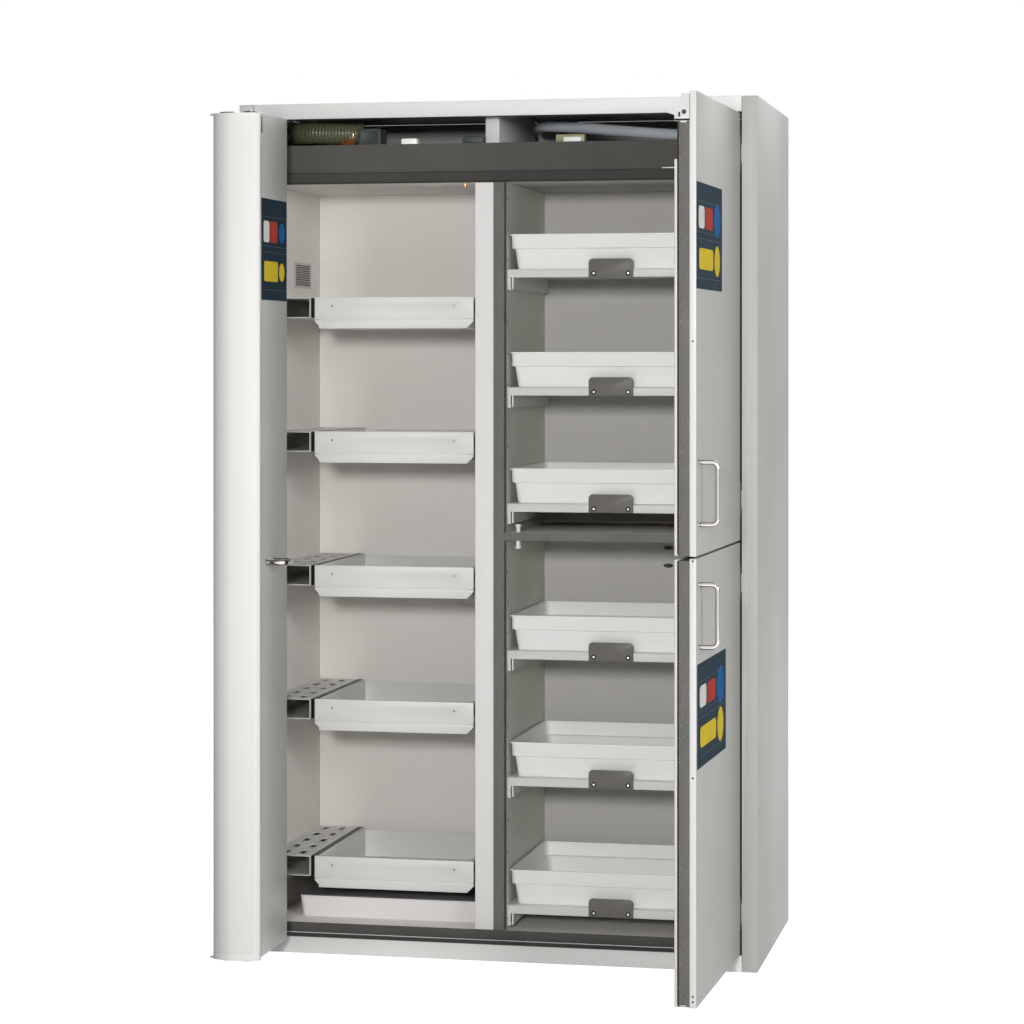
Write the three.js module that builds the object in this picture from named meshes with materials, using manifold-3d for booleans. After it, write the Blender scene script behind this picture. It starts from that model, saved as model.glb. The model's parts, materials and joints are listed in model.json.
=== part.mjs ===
// Tall safety cabinet for reagents: a folding door over pull-out trays on the left, two wing doors over
// pull-out tub shelves on the right. Millimetres, +Z up, +X to the right, front towards -Y.
// The origin is the centre of the casing's footprint on the floor.
import * as THREE from "three";
import { mergeVertices } from "three/addons/utils/BufferGeometryUtils.js";
import Module from "manifold-3d";

const wasm = await Module();
wasm.setup();

// Casing
const width = 1200;
const depth = 615;
const height = 1950;
const sheet = 1.5;
const gap = 0.3; // fit between separate pieces
const overrun = 2; // how far a cutting body passes the face that it cuts
const stileWide = 35;
const stileDeep = 48;
const topRailHigh = 35;
const bottomRailHigh = 37;
const sillLipHigh = 2;
const frontY = -depth / 2;
const backY = depth / 2;
const sideX = width / 2;
const openingX = sideX - stileWide; // half the width between the stiles
const railZ = height - topRailHigh; // underside of the top rail

// Fire boards and compartments
const doorThick = 46;
const doorSeat = 4; // closed door to the front of the boards
const sideBoard = 48.2;
const rearBoard = 48;
const bottomBoard = 23.4;
const topBoardLayer = 45; // the top board is two layers
const topBoardHigh = topBoardLayer * 2;
const techHigh = 57; // open space between the top board and the top rail
const rearRoom = 67; // rear board to the casing's back
const cabinDeep = depth - doorThick - doorSeat - rearBoard - rearRoom;
const facingThick = 2; // seals and stile facing on the front of the boards
const boardY = frontY + doorThick + doorSeat;
const boardFrontY = boardY + facingThick;
const cabinBackY = boardY + cabinDeep;
const rearBoardY = cabinBackY + rearBoard;
const boardSideX = sideX - sheet - gap;
const cabinX = boardSideX - sideBoard; // inner face of the side boards
const boardBottomZ = bottomRailHigh + gap * 2;
const floorZ = boardBottomZ + bottomBoard;
const topBoardZ = railZ - techHigh; // top of the top board
const ceilingZ = topBoardZ - topBoardHigh;
const cabinHigh = ceilingZ - floorZ;

// Partition and divider
const partitionThick = 67;
const partitionRightX = 13;
const partitionLeftX = partitionRightX - partitionThick;
const facingRightX = -11; // where the light stile facing ends and the dark seal begins
const dividerThick = 18.5;
const dividerShare = 0.5208; // height of the divider's underside over the floor
const dividerZ = floorZ + cabinHigh * dividerShare;
const beamLipHigh = 22; // lip along the lower edge of the upper seal

// Doors
const doorGap = 5; // between upper and lower door
const doorFoot = 41; // underside of the doors
const railGap = 4; // wing doors to the top rail
const doorHead = railZ - railGap;
const centreGap = 4; // between the folding door and the wing doors
const bowRound = 5; // handle bars

// Pull-outs
const slideThick = 6;
const slideHigh = 46;
const slideRun = 10; // fixed slides past the back of the pull-outs
const panelSheet = 2;

// Left compartment: trays, their slides and brackets, the sump under them
const trayHigh = 72;
const trayChamfer = 16;
const trayRise = 25; // tray's underside to the underside of its slides
const traySideHigh = 42;
const trayGap = 6; // front plate to the partition
const bracketRoom = 113; // front plate to the left wall
const trayIn = 10; // front plates behind the seals
const trayBackRoom = 20; // trays to the rear board
const trayRightX = partitionLeftX - trayGap;
const trayLeftX = -cabinX + bracketRoom;
const trayWide = trayRightX - trayLeftX;
const trayDeep = cabinDeep - trayIn - trayBackRoom;
const trayY = boardY + trayIn;
const trayBottomShares = [0.8047, 0.623, 0.4415, 0.2599, 0.0469];
const trayBottoms = trayBottomShares.map((share) => floorZ + cabinHigh * share);
const trayEdgeLeft = 3; // front plate past the left slides
const trayEdgeRight = 9; // front plate past the right slides
const traySlideLeftX = trayLeftX + trayEdgeLeft; // face of the left fixed slides
const traySlideRightX = trayRightX - trayEdgeRight; // face of the right fixed slides
const bracketHigh = 46;
const bracketWall = 2;
const sumpHigh = 49;
const sumpRoom = 65; // runner panel's foot over the floor
const panelEnd = 6; // runner panel's head to the ceiling

// Right compartment: shelves, tubs and their slides
const shelfIn = 8; // shelf fronts behind the seals
const shelfBackRoom = 22; // shelves to the rear board
const shelfFrontHigh = 19;
const shelfSlideHigh = 28;
const shelfSheet = 1.5;
const panelStand = 43.8; // outer runner panel off the right wall
const shelfLeftX = partitionRightX + gap + slideThick + gap;
const shelfRightX = cabinX - gap - panelStand - slideThick; // face of the outer fixed slides
const shelfWide = shelfRightX - gap - shelfLeftX;
const shelfDeep = cabinDeep - shelfIn - shelfBackRoom;
const shelfY = boardY + shelfIn;
const tubSide = 3; // tub to the shelf's ends
const tubIn = 5; // behind the shelf's front edge
const tubBack = 11; // tub to the shelf's back
const tubWide = shelfWide - tubSide * 2;
const tubDeep = shelfDeep - tubIn - tubBack;
const tubHigh = 80;
const lowerShelfShares = [0.7171, 0.3917, 0.0637];
const upperShelfShares = [0.7511, 0.4145, 0.0824];
const upperFloorZ = dividerZ + dividerThick;
const shelfTops = [
  ...upperShelfShares.map((share) => upperFloorZ + (ceilingZ - upperFloorZ) * share),
  ...lowerShelfShares.map((share) => floorZ + (dividerZ - floorZ) * share),
];

const steel = { roughness: 0.45, metalness: 0.1 };
const finish = {
  casing: { color: 0xcdcdcb, ...steel },
  white: { color: 0xe6e6e3, ...steel },
  board: { color: 0xb9b5b0, roughness: 0.7, metalness: 0 },
  seal: { color: 0x4b4946, roughness: 0.85, metalness: 0 },
  tub: { color: 0xf0f0ec, roughness: 0.4, metalness: 0 },
  chrome: { color: 0xd8d8d8, roughness: 0.15, metalness: 1 },
  zinc: { color: 0xa9adb0, roughness: 0.4, metalness: 0.8 },
};

// Helpers that draw closed solids, join and cut them, and place each piece as one mesh

function solid(geometry) {
  const bare = geometry.clone();
  bare.deleteAttribute("normal");
  bare.deleteAttribute("uv");
  const merged = mergeVertices(bare);
  const mesh = new wasm.Mesh({
    numProp: 3,
    vertProperties: new Float32Array(merged.attributes.position.array),
    triVerts: new Uint32Array(merged.index.array),
  });
  return new wasm.Manifold(mesh);
}

function box(x0, x1, y0, y1, z0, z1) {
  const geometry = new THREE.BoxGeometry(x1 - x0, y1 - y0, z1 - z0);
  geometry.translate((x0 + x1) / 2, (y0 + y1) / 2, (z0 + z1) / 2);
  return solid(geometry);
}

// A box whose lower rectangle differs from its upper one; each is [x0, x1, y0, y1, z]
function taper(low, high) {
  const geometry = new THREE.BoxGeometry(1, 1, 1);
  const at = geometry.attributes.position;
  for (let i = 0; i < at.count; i += 1) {
    const end = at.getZ(i) > 0 ? high : low;
    at.setXYZ(i, end[at.getX(i) > 0 ? 1 : 0], end[at.getY(i) > 0 ? 3 : 2], end[4]);
  }
  return solid(geometry);
}

function shapeOf(points) {
  return new THREE.Shape(points.map(([x, y]) => new THREE.Vector2(x, y)));
}

// A plan outline raised from z0 to z1
function raise(shape, z0, z1, curveSegments = 8) {
  const options = { depth: z1 - z0, bevelEnabled: false, curveSegments };
  const geometry = new THREE.ExtrudeGeometry(shape, options);
  geometry.translate(0, 0, z0);
  return solid(geometry);
}

// An outline of [y, z] points drawn along X
function alongX(points, x0, x1) {
  const geometry = new THREE.ExtrudeGeometry(shapeOf(points), { depth: x1 - x0, bevelEnabled: false });
  geometry.rotateY(Math.PI / 2);
  geometry.rotateX(Math.PI / 2);
  geometry.translate(x0, 0, 0);
  return solid(geometry);
}

// An outline of [x, z] points drawn along Y
function alongY(points, y0, y1) {
  const geometry = new THREE.ExtrudeGeometry(shapeOf(points), { depth: y1 - y0, bevelEnabled: false });
  geometry.rotateX(Math.PI / 2);
  geometry.translate(0, y1, 0);
  return solid(geometry);
}

function upright(x, y, radius, z0, z1, sides = 16) {
  const geometry = new THREE.CylinderGeometry(radius, radius, z1 - z0, sides);
  geometry.rotateX(Math.PI / 2);
  geometry.translate(x, y, (z0 + z1) / 2);
  return solid(geometry);
}

function rod(from, to, radius, sides = 12) {
  const start = new THREE.Vector3(...from);
  const end = new THREE.Vector3(...to);
  const geometry = new THREE.CylinderGeometry(radius, radius, start.distanceTo(end), sides);
  const along = end.clone().sub(start).normalize();
  geometry.applyQuaternion(new THREE.Quaternion().setFromUnitVectors(new THREE.Vector3(0, 1, 0), along));
  geometry.translate(...start.add(end).multiplyScalar(0.5).toArray());
  return solid(geometry);
}

function ball(centre, radius) {
  const geometry = new THREE.SphereGeometry(radius, 12, 8);
  geometry.translate(...centre);
  return solid(geometry);
}

const join = (...solids) => solids.reduce((all, next) => all.add(next));
const cut = (whole, ...solids) => solids.reduce((rest, next) => rest.subtract(next), whole);

const cabinet = new THREE.Group();

function place(name, shape, look, parent = cabinet) {
  const mesh = shape.getMesh();
  const geometry = new THREE.BufferGeometry();
  geometry.setAttribute("position", new THREE.BufferAttribute(new Float32Array(mesh.vertProperties), 3));
  geometry.setIndex(new THREE.BufferAttribute(new Uint32Array(mesh.triVerts), 1));
  const piece = new THREE.Mesh(geometry, new THREE.MeshStandardMaterial(look));
  piece.name = name;
  parent.add(piece);
  return piece;
}

// Folding door sizes that the casing's pins need
const leafRound = doorThick / 2; // the leaf ends are half round about their pins
const leafSideGap = 2;
const leafBetween = 3; // between the folded leaves
const leafLag = 85; // how much shorter the front leaf is than the rear one, pin to edge
const armThick = 3;
const armWide = 16;
const armRoom = 1.4; // arm to the top rail
const capThick = 2;
const armZ = railZ - armRoom - armThick;
const capZ = armZ - gap; // top of the profile's upper cap
const leafFoot = doorFoot + capThick;
const leafHead = capZ - capThick - gap;
const pinDeep = 15;
const pinRound = 4;
const pinFit = 0.3;
const pivotX = -openingX + leafSideGap + leafRound;
const pivotY = frontY + leafRound;
const foldSpan = doorThick + leafBetween;
const rearReach = (-centreGap / 2 - pivotX - foldSpan + leafLag) / 2; // pin to pin
const frontReach = rearReach - leafLag; // pin to free edge

// Wing door hinge sizes that the casing's knuckles need
const openAngle = THREE.MathUtils.degToRad(88.1);
const knuckleRound = 3.4;
const knuckleStand = 1.1; // knuckle to the stile's inner edge
const knuckleRoom = 0.4; // knuckle to the door's edge
const hingeIn = 1; // hinge axis behind the front face
const hingeX = openingX - knuckleRound - knuckleStand;
const hingeY = frontY + hingeIn;
const hingeReach = knuckleRound + knuckleRoom; // axis to the door's edge
const knuckleHalf = 20;
const knuckleEnd = 15;
const hingePinRound = 1.8;
const hingeEnd = 70; // door's end to the fixed knuckle
const hingeEndHigh = hingeEnd + knuckleHalf; // door's end to the hinge's middle
const splitRise = 4.6; // middle of the gap between the doors above the divider's middle
const upperDoorFoot = dividerZ + dividerThick / 2 - doorGap / 2 + splitRise;
const upperCoreDrop = 64; // door's head to the head of its core
const upperInnerDrop = 139; // door's head to the head of its inner panel
const lowerCoreDrop = 4;
const lowerInnerDrop = 1.5;
const wingDoors = [
  {
    name: "door_upper",
    z0: upperDoorFoot,
    z1: doorHead,
    handleShare: 0.1345,
    coreDrop: upperCoreDrop,
    innerDrop: upperInnerDrop,
  },
  {
    name: "door_lower",
    z0: doorFoot,
    z1: upperDoorFoot - doorGap,
    handleShare: 0.8715,
    coreDrop: lowerCoreDrop,
    innerDrop: lowerInnerDrop,
  },
];
const hingeHeights = wingDoors.flatMap(({ z0, z1 }) => [z0 + hingeEndHigh, z1 - hingeEndHigh]);

function casing() {
  const foot = sheet + gap;
  const head = height - sheet - gap;
  const side = shapeOf([
    [sideX, frontY],
    [sideX, backY],
    [sideX - sheet, backY],
    [sideX - sheet, frontY + sheet],
    [openingX + sheet, frontY + sheet],
    [openingX + sheet, frontY + stileDeep],
    [openingX, frontY + stileDeep],
    [openingX, frontY],
  ]);
  let right = raise(side, foot, head);
  for (const z of hingeHeights) {
    const low = z - knuckleHalf;
    const high = z + knuckleHalf;
    const knuckle = join(
      upright(hingeX, hingeY, knuckleRound, low, high, 20),
      box(hingeX, openingX + sheet / 2, frontY, frontY + sheet, low, high),
    );
    const bore = upright(hingeX, hingeY, hingePinRound + pinFit, low - overrun, high + overrun);
    right = cut(join(right, knuckle), bore);
  }
  place("casing_right", right, finish.casing);
  place("casing_left", raise(side, foot, head).mirror([1, 0, 0]), finish.casing);
  const rearX = sideX - sheet - gap;
  place("casing_rear", box(-rearX, rearX, backY - sheet, backY, foot, head), finish.casing);

  // Top panel with the front rail, its return flange, the folded web over the partition and the folding door's pins
  const railX = openingX - gap;
  const railFlangeY = frontY + stileDeep;
  const postWide = 32;
  const postIn = 30; // behind the boards' front
  const postX = (partitionLeftX + partitionRightX - postWide) / 2;
  const postY = boardFrontY + postIn;
  const postBack = cabinBackY;
  const post = cut(
    box(postX, postX + postWide, postY, postBack, topBoardZ + gap, height - sheet / 2),
    box(postX + sheet, postX + postWide - sheet, postY + sheet, postBack + overrun, topBoardZ, height - sheet),
  );
  const top = join(
    box(-sideX, sideX, frontY, backY, height - sheet, height),
    box(-railX, railX, frontY, frontY + sheet, railZ, height - sheet / 2),
    box(-railX, railX, frontY, railFlangeY, railZ, railZ + sheet),
    post,
    upright(pivotX, pivotY, pinRound, leafHead - pinDeep, railZ + sheet / 2),
    upright(pivotX + foldSpan, pivotY, pinRound, armZ, railZ + sheet / 2),
  );
  place("casing_top", top, finish.casing);

  // Base pan with the front rail, sill, door lip, bearer blocks and the folding door's lower pin
  const bearerWide = 60;
  const bearerInset = 30;
  const sillY = frontY + stileDeep;
  let base = join(
    box(-sideX, sideX, frontY, backY, 0, sheet),
    box(-railX, railX, frontY, frontY + sheet, sheet / 2, bottomRailHigh),
    box(-railX, railX, frontY, sillY, bottomRailHigh - sheet, bottomRailHigh),
    box(-railX, railX, sillY - sheet, sillY, bottomRailHigh - sheet, bottomRailHigh + sillLipHigh),
    upright(pivotX, pivotY, pinRound, bottomRailHigh - sheet / 2, leafFoot + pinDeep),
  );
  for (const x of [-openingX + bearerInset, -bearerWide / 2, openingX - bearerInset - bearerWide]) {
    const bearer = box(x, x + bearerWide, sillY + gap, cabinBackY, sheet / 2, boardBottomZ - gap);
    base = join(base, bearer);
  }
  place("casing_base", base, finish.casing);
}

function boards() {
  const name = "fire_board_";
  const front = boardFrontY;
  const back = cabinBackY - gap;
  place(name + "left", box(-boardSideX, -cabinX, front, rearBoardY, boardBottomZ, topBoardZ), finish.board);
  place(name + "right", box(cabinX, boardSideX, front, rearBoardY, boardBottomZ, topBoardZ), finish.board);
  const acrossX = cabinX - gap;
  const rear = box(-acrossX, acrossX, cabinBackY, rearBoardY, boardBottomZ, topBoardZ);
  place(name + "rear", rear, finish.board);
  place(name + "top", box(-acrossX, acrossX, front, back, ceilingZ, topBoardZ), finish.board);
  place(name + "bottom", box(-acrossX, acrossX, front, back, boardBottomZ, floorZ), finish.board);

  const low = floorZ + gap;
  const high = ceilingZ - gap;
  const plan = shapeOf([
    [partitionLeftX, boardY],
    [facingRightX - gap, boardY],
    [facingRightX - gap, boardFrontY],
    [partitionRightX, boardFrontY],
    [partitionRightX, back],
    [partitionLeftX, back],
  ]);
  place("partition", raise(plan, low, high), finish.white);
  const dividerLeft = partitionRightX + gap * 2 + slideThick;
  const dividerRight = shelfRightX + gap * 2;
  const dividerFront = boardFrontY;
  const divider = box(dividerLeft, dividerRight, dividerFront, back, dividerZ, dividerZ + dividerThick);
  place("divider", divider, finish.board);

  const sealFront = boardY;
  const sealBack = boardFrontY - gap;
  const sealX = openingX - gap;
  const beam = join(
    box(-sealX, sealX, sealFront, sealBack, ceilingZ, topBoardZ),
    box(-sealX, sealX, sealFront - sheet, sealBack, ceilingZ, ceilingZ + beamLipHigh),
  );
  place("seal_beam", beam, finish.seal);
  place("seal_bottom", box(-sealX, sealX, sealFront, sealBack, boardBottomZ, floorZ), finish.seal);
  const centre = join(
    box(facingRightX, partitionRightX, sealFront, sealBack, low, high),
    box(facingRightX, cabinX - gap, sealFront, sealBack, dividerZ, dividerZ + dividerThick),
  );
  place("seal_centre", centre, finish.seal);
}

// Technical space over the top board: two bent exhaust ducts, the left one with its damper box
function technicalSpace() {
  const ductRound = 25;
  const ductZ = topBoardZ + gap + ductRound;
  const sides = 14;
  const bends = 12;
  const duct = (points) => {
    const route = new THREE.CatmullRomCurve3(points.map(([x, y]) => new THREE.Vector3(x, y, ductZ)));
    const ring = new THREE.Shape();
    ring.absarc(0, 0, ductRound, 0, Math.PI * 2, false);
    const options = { steps: bends, extrudePath: route, bevelEnabled: false, curveSegments: sides };
    return solid(new THREE.ExtrudeGeometry(ring, options));
  };
  const damperWide = 66;
  const damperDeep = 60;
  const damperHigh = 40;
  const damperIn = 20; // behind the boards' front
  const damperShare = -0.61;
  const damperX = cabinX * damperShare;
  const damperY = boardFrontY + damperIn;
  const leftRouteShares = [
    [-0.59, 0.11],
    [-0.72, 0.13],
    [-0.83, 0.22],
    [-0.9, 0.42],
    [-0.92, 0.62],
    [-0.92, 0.8],
  ];
  const rightRouteShares = [
    [0.06, 0.8],
    [0.16, 0.5],
    [0.34, 0.3],
    [0.6, 0.18],
    [0.88, 0.13],
  ];
  const onBoard = ([acrossShare, inShare]) => [cabinX * acrossShare, boardFrontY + cabinDeep * inShare];
  const damper = box(
    damperX,
    damperX + damperWide,
    damperY,
    damperY + damperDeep,
    topBoardZ + gap,
    topBoardZ + gap + damperHigh,
  );
  place("exhaust_duct_left", join(duct(leftRouteShares.map(onBoard)), damper), finish.zinc);
  place("exhaust_duct_right", duct(rightRouteShares.map(onBoard)), finish.zinc);
}

// A pull-out tray between two slides: pan, tall front plate with chamfered corners, moving slides
function tray(number, bottom, parent) {
  const wall = 1.5;
  const front = trayY;
  const back = trayY + trayDeep;
  const slideLeft = traySlideLeftX + gap;
  const slideRight = traySlideRightX - gap;
  const left = slideLeft + slideThick;
  const right = slideRight - slideThick;
  const holeRound = 2.5;
  const holeDown = 20;
  const holeShares = [0.11, 0.88];
  let plate = alongY(
    [
      [trayLeftX, bottom + trayChamfer],
      [trayLeftX + trayChamfer, bottom],
      [trayRightX - trayChamfer, bottom],
      [trayRightX, bottom + trayChamfer],
      [trayRightX, bottom + trayHigh],
      [trayLeftX, bottom + trayHigh],
    ],
    front,
    front + wall,
  );
  for (const share of holeShares) {
    const x = trayLeftX + trayWide * share;
    const z = bottom + trayHigh - holeDown;
    plate = cut(plate, rod([x, front - overrun, z], [x, front + wall + overrun, z], holeRound, 10));
  }
  const inFront = front + wall / 2;
  const sideZ = bottom + trayRise + slideHigh;
  const pan = cut(
    box(left, right, inFront, back, bottom, bottom + trayRise + traySideHigh),
    box(left + wall, right - wall, front + wall, back - wall, bottom + wall, bottom + trayHigh + overrun),
  );
  const slideZ = bottom + trayRise;
  const slides = [slideLeft, slideRight - slideThick].map((x) =>
    box(x, x + slideThick, front + wall + gap, back, slideZ, sideZ),
  );
  const seams = [left, right].map((x) =>
    box(x - wall, x + wall, front + wall + gap, back - wall, slideZ + wall, slideZ + traySideHigh - wall),
  );
  place(`tray_${number}`, join(pan, plate, ...slides, ...seams), finish.white, parent);
}

// Hollow bracket on the left wall with the fixed slide along its right side
function trayBracket(number, bottom) {
  const z = bottom + trayRise;
  const left = -cabinX + gap;
  const right = traySlideLeftX - slideThick;
  const bracketIn = 2; // behind the front plates
  const front = trayY + bracketIn;
  const back = trayY + trayDeep + slideRun;
  const slotLong = 62;
  const slotWide = 7;
  const slotPitch = 52;
  const slotCount = 7;
  const tube = box(left, right, front, back, z, z + bracketHigh);
  const bore = box(
    left + bracketWall,
    right - bracketWall,
    front - overrun,
    back + overrun,
    z + bracketWall,
    z + bracketHigh - bracketWall,
  );
  let bracket = cut(tube, bore);
  const slotX = (left + right - slotLong) / 2;
  for (let i = 0; i < slotCount; i += 1) {
    const y = front + slotPitch * (i + 0.5);
    const slot = box(
      slotX,
      slotX + slotLong,
      y,
      y + slotWide,
      z + bracketHigh - bracketWall - overrun,
      z + bracketHigh + overrun,
    );
    bracket = cut(bracket, slot);
  }
  const slide = box(right - bracketWall / 2, traySlideLeftX, front, back, z, z + slideHigh);
  place(`tray_bracket_${number}`, join(bracket, slide), finish.white);
}

function leftCompartment() {
  trayBottoms.forEach((bottom, i) => trayBracket(i + 1, bottom));
  // The trays' right slides run in a folded box panel on the partition, hidden behind the partition's edge
  const panelX = partitionLeftX - gap;
  const panelIn = 62; // behind the front plates
  const panelFront = trayY + panelIn;
  const panelBack = trayY + trayDeep + slideRun;
  const panelFoot = floorZ + sumpRoom;
  const panelHead = ceilingZ - panelEnd;
  const panel = cut(
    box(traySlideRightX, panelX, panelFront, panelBack, panelFoot, panelHead),
    box(
      traySlideRightX + panelSheet,
      panelX - panelSheet,
      panelFront + panelSheet,
      panelBack - panelSheet,
      panelFoot - overrun,
      panelHead + overrun,
    ),
  );
  place("tray_runner_panel", panel, finish.white);

  // Sump pan with sloped walls, and the perforated insert that closes it
  const sumpFootZ = floorZ + gap;
  const sumpTopZ = sumpFootZ + sumpHigh;
  const sumpSideGap = 4; // to the partition
  const sumpBackGap = 12; // to the rear board
  const sumpIn = 57.5; // behind the tray fronts
  const sumpPast = 53; // past the trays' left edges
  const right = partitionLeftX - sumpSideGap;
  const left = trayLeftX - sumpPast;
  const front = trayY + sumpIn;
  const back = cabinBackY - sumpBackGap;
  const flare = 7;
  const wall = 1.5;
  const outer = taper(
    [left + flare, right - flare, front + flare, back - flare, sumpFootZ],
    [left, right, front, back, sumpTopZ],
  );
  const slope = flare / sumpHigh;
  const lowIn = flare + wall - slope * wall;
  const highIn = wall - slope * overrun;
  const inner = taper(
    [left + lowIn, right - lowIn, front + lowIn, back - lowIn, sumpFootZ + wall],
    [left + highIn, right - highIn, front + highIn, back - highIn, sumpTopZ + overrun],
  );
  place("sump_tray", cut(outer, inner), finish.white);
  const holeRound = 5;
  const holePitch = 72;
  const fingerRoom = 36; // open behind the insert, to lift it out
  const insertBack = back - fingerRoom;
  let insert = box(left, right, front, insertBack, sumpTopZ + gap, sumpTopZ + gap + wall);
  const columns = Math.floor((right - left) / holePitch);
  const rows = Math.floor((insertBack - front) / holePitch);
  for (let i = 0; i < columns; i += 1) {
    for (let j = 0; j < rows; j += 1) {
      const x = left + holePitch * (i + 0.7);
      const y = front + holePitch * (j + 0.6);
      insert = cut(insert, upright(x, y, holeRound, sumpTopZ, sumpTopZ + wall + overrun, 6));
    }
  }
  place("sump_insert", insert, finish.seal);

  // Vent grille in the left wall
  const ventShare = 0.864;
  const ventHigh = 61;
  const ventLong = 140;
  const ventBackRoom = 79; // to the rear board
  const ventThick = 2;
  const slots = 6;
  const slotHigh = 4;
  const border = 9;
  const ventY = cabinBackY - ventBackRoom - ventLong;
  const ventZ = floorZ + cabinHigh * ventShare;
  const wallX = -cabinX + gap;
  const slotBack = wallX - overrun;
  const slotFace = wallX + ventThick + overrun;
  let vent = box(wallX, wallX + ventThick, ventY, ventY + ventLong, ventZ, ventZ + ventHigh);
  for (let i = 0; i < slots; i += 1) {
    const z = ventZ + ((ventHigh - slotHigh) * (i + 0.5)) / slots + slotHigh / slots;
    const slot = box(slotBack, slotFace, ventY + border, ventY + ventLong - border, z, z + slotHigh);
    vent = cut(vent, slot);
  }
  place("vent_grille", vent, finish.white);
}

// A pull-out shelf: deck with front edge, side slides that hang below it, handle plate on the front
function shelf(number, top, parent) {
  const front = shelfY;
  const back = shelfY + shelfDeep;
  const left = shelfLeftX;
  const right = shelfLeftX + shelfWide;
  const slideFoot = top - shelfFrontHigh - shelfSlideHigh;
  const slideFront = front + shelfSheet + overrun;
  const plateWide = 103;
  const plateHigh = 42;
  const plateThick = 2;
  const plateRound = 10;
  const middle = (left + right) / 2;
  const foot = top - shelfFrontHigh;
  const head = foot + plateHigh;
  const x0 = middle - plateWide / 2;
  const x1 = middle + plateWide / 2;
  const plate = alongY(
    [
      [x0, foot],
      [x1, foot],
      [x1, head - plateRound],
      [x1 - plateRound * 0.3, head - plateRound * 0.3],
      [x1 - plateRound, head],
      [x0 + plateRound, head],
      [x0 + plateRound * 0.3, head - plateRound * 0.3],
      [x0, head - plateRound],
    ],
    front - plateThick,
    front + shelfSheet / 2,
  );
  const body = join(
    box(left, right, front, back, top - shelfSheet, top),
    box(left, right, front, front + shelfSheet, foot, top),
    box(left, left + slideThick, slideFront, back, slideFoot, top),
    box(right - slideThick, right, slideFront, back, slideFoot, top),
    plate,
  );
  place(`shelf_${number}`, body, finish.white, parent);

  const wall = 2.5;
  const rimHigh = 34;
  const rimOut = 10;
  const lean = 6;
  const tubX0 = middle - tubWide / 2;
  const tubX1 = middle + tubWide / 2;
  const tubY0 = shelfY + tubIn;
  const tubY1 = tubY0 + tubDeep;
  const low = top + gap;
  const high = top + gap + tubHigh;
  const plan = (inset, z) => [tubX0 + inset, tubX1 - inset, tubY0 + inset, tubY1 - inset, z];
  const outer = join(
    box(tubX0, tubX1, tubY0, tubY1, high - rimHigh, high),
    taper(plan(rimOut + lean, low), plan(rimOut, high - rimHigh + wall)),
  );
  const inner = taper(plan(rimOut + lean + wall, low + wall), plan(rimOut + wall, high + overrun));
  place(`tub_${number}`, cut(outer, inner), finish.tub, parent);
}

// Fixed runner panels on both sides of the shelves, flush with the slides; the outer one is a folded
// channel that stands off the wall, clear of the doors
function shelfRunnerPanels() {
  const front = boardFrontY + gap;
  const back = cabinBackY - gap * 2;
  const low = floorZ + gap * 2;
  const high = ceilingZ - gap * 2;
  const innerX = partitionRightX + gap;
  const wallX = cabinX - gap;
  const inner = box(innerX, innerX + slideThick, front, back, low, high);
  const panelX = shelfRightX;
  const notchX = panelX + gap * 2;
  const notchZ = dividerZ - gap;
  const notchTopZ = dividerZ + dividerThick + gap;
  const plan = shapeOf([
    [panelX, front],
    [wallX, front],
    [wallX, front + panelSheet],
    [panelX + panelSheet, front + panelSheet],
    [panelX + panelSheet, back - panelSheet],
    [wallX, back - panelSheet],
    [wallX, back],
    [panelX, back],
  ]);
  const outer = cut(
    raise(plan, low, high),
    box(panelX - overrun, notchX, front - overrun, back + overrun, notchZ, notchTopZ),
  );
  place("shelf_runner_panel_inner", inner, finish.white);
  place("shelf_runner_panel_outer", outer, finish.white);
}

// A bow handle: two legs from a face at y = 0 and a bar in front of it, drawn along X or Z from its middle
function bow(spacing, standoff, radius, upwards) {
  const round = radius * 2.4;
  const half = spacing / 2;
  const at = (along, out) => (upwards ? [0, -out, along] : [along, -out, 0]);
  const ends = [-1, 1].map((side) =>
    join(
      rod(at(side * half, 0), at(side * half, standoff - round), radius),
      ball(at(side * half, standoff - round), radius),
      rod(at(side * half, standoff - round), at(side * (half - round), standoff), radius),
      ball(at(side * (half - round), standoff), radius),
    ),
  );
  return join(...ends, rod(at(round - half, standoff), at(half - round, standoff), radius));
}

// Outline of a folding leaf: x runs from the pin at the rounded end, and the other end is round too,
// or square at the free edge
function leafOutline(reach, squareEnd, inset) {
  const r = leafRound - inset;
  const shape = new THREE.Shape();
  shape.moveTo(0, r);
  shape.absarc(0, 0, r, Math.PI / 2, Math.PI * 1.5, false);
  if (squareEnd) {
    shape.lineTo(reach - inset, -r);
    shape.lineTo(reach - inset, r);
  } else {
    shape.absarc(reach, 0, r, -Math.PI / 2, Math.PI / 2, false);
  }
  return shape;
}

// The leaf's steel skin wraps its outer face and both ends, and is open on the inner face between two lips
function foldLeaf(side, reach, squareEnd, parent) {
  const lip = 18;
  const low = leafFoot - overrun;
  const high = leafHead + overrun;
  const hollow = raise(leafOutline(reach, squareEnd, sheet), low, high, 10);
  const mouth = box(lip, reach - lip, 0, leafRound + overrun, low, high);
  const skin = cut(raise(leafOutline(reach, squareEnd, 0), leafFoot, leafHead, 10), hollow, mouth);
  place(`fold_${side}_skin`, skin, finish.casing, parent);
  let core = raise(leafOutline(reach, squareEnd, sheet + gap), leafFoot, leafHead, 10);
  for (const x of squareEnd ? [0] : [0, reach]) {
    for (const z of [leafFoot, leafHead - pinDeep - gap]) {
      const bore = upright(x, 0, pinRound + pinFit, z - overrun, z + pinDeep + gap + overrun);
      core = cut(core, bore);
    }
  }
  place(`fold_${side}_core`, core, finish.board, parent);
}

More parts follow.
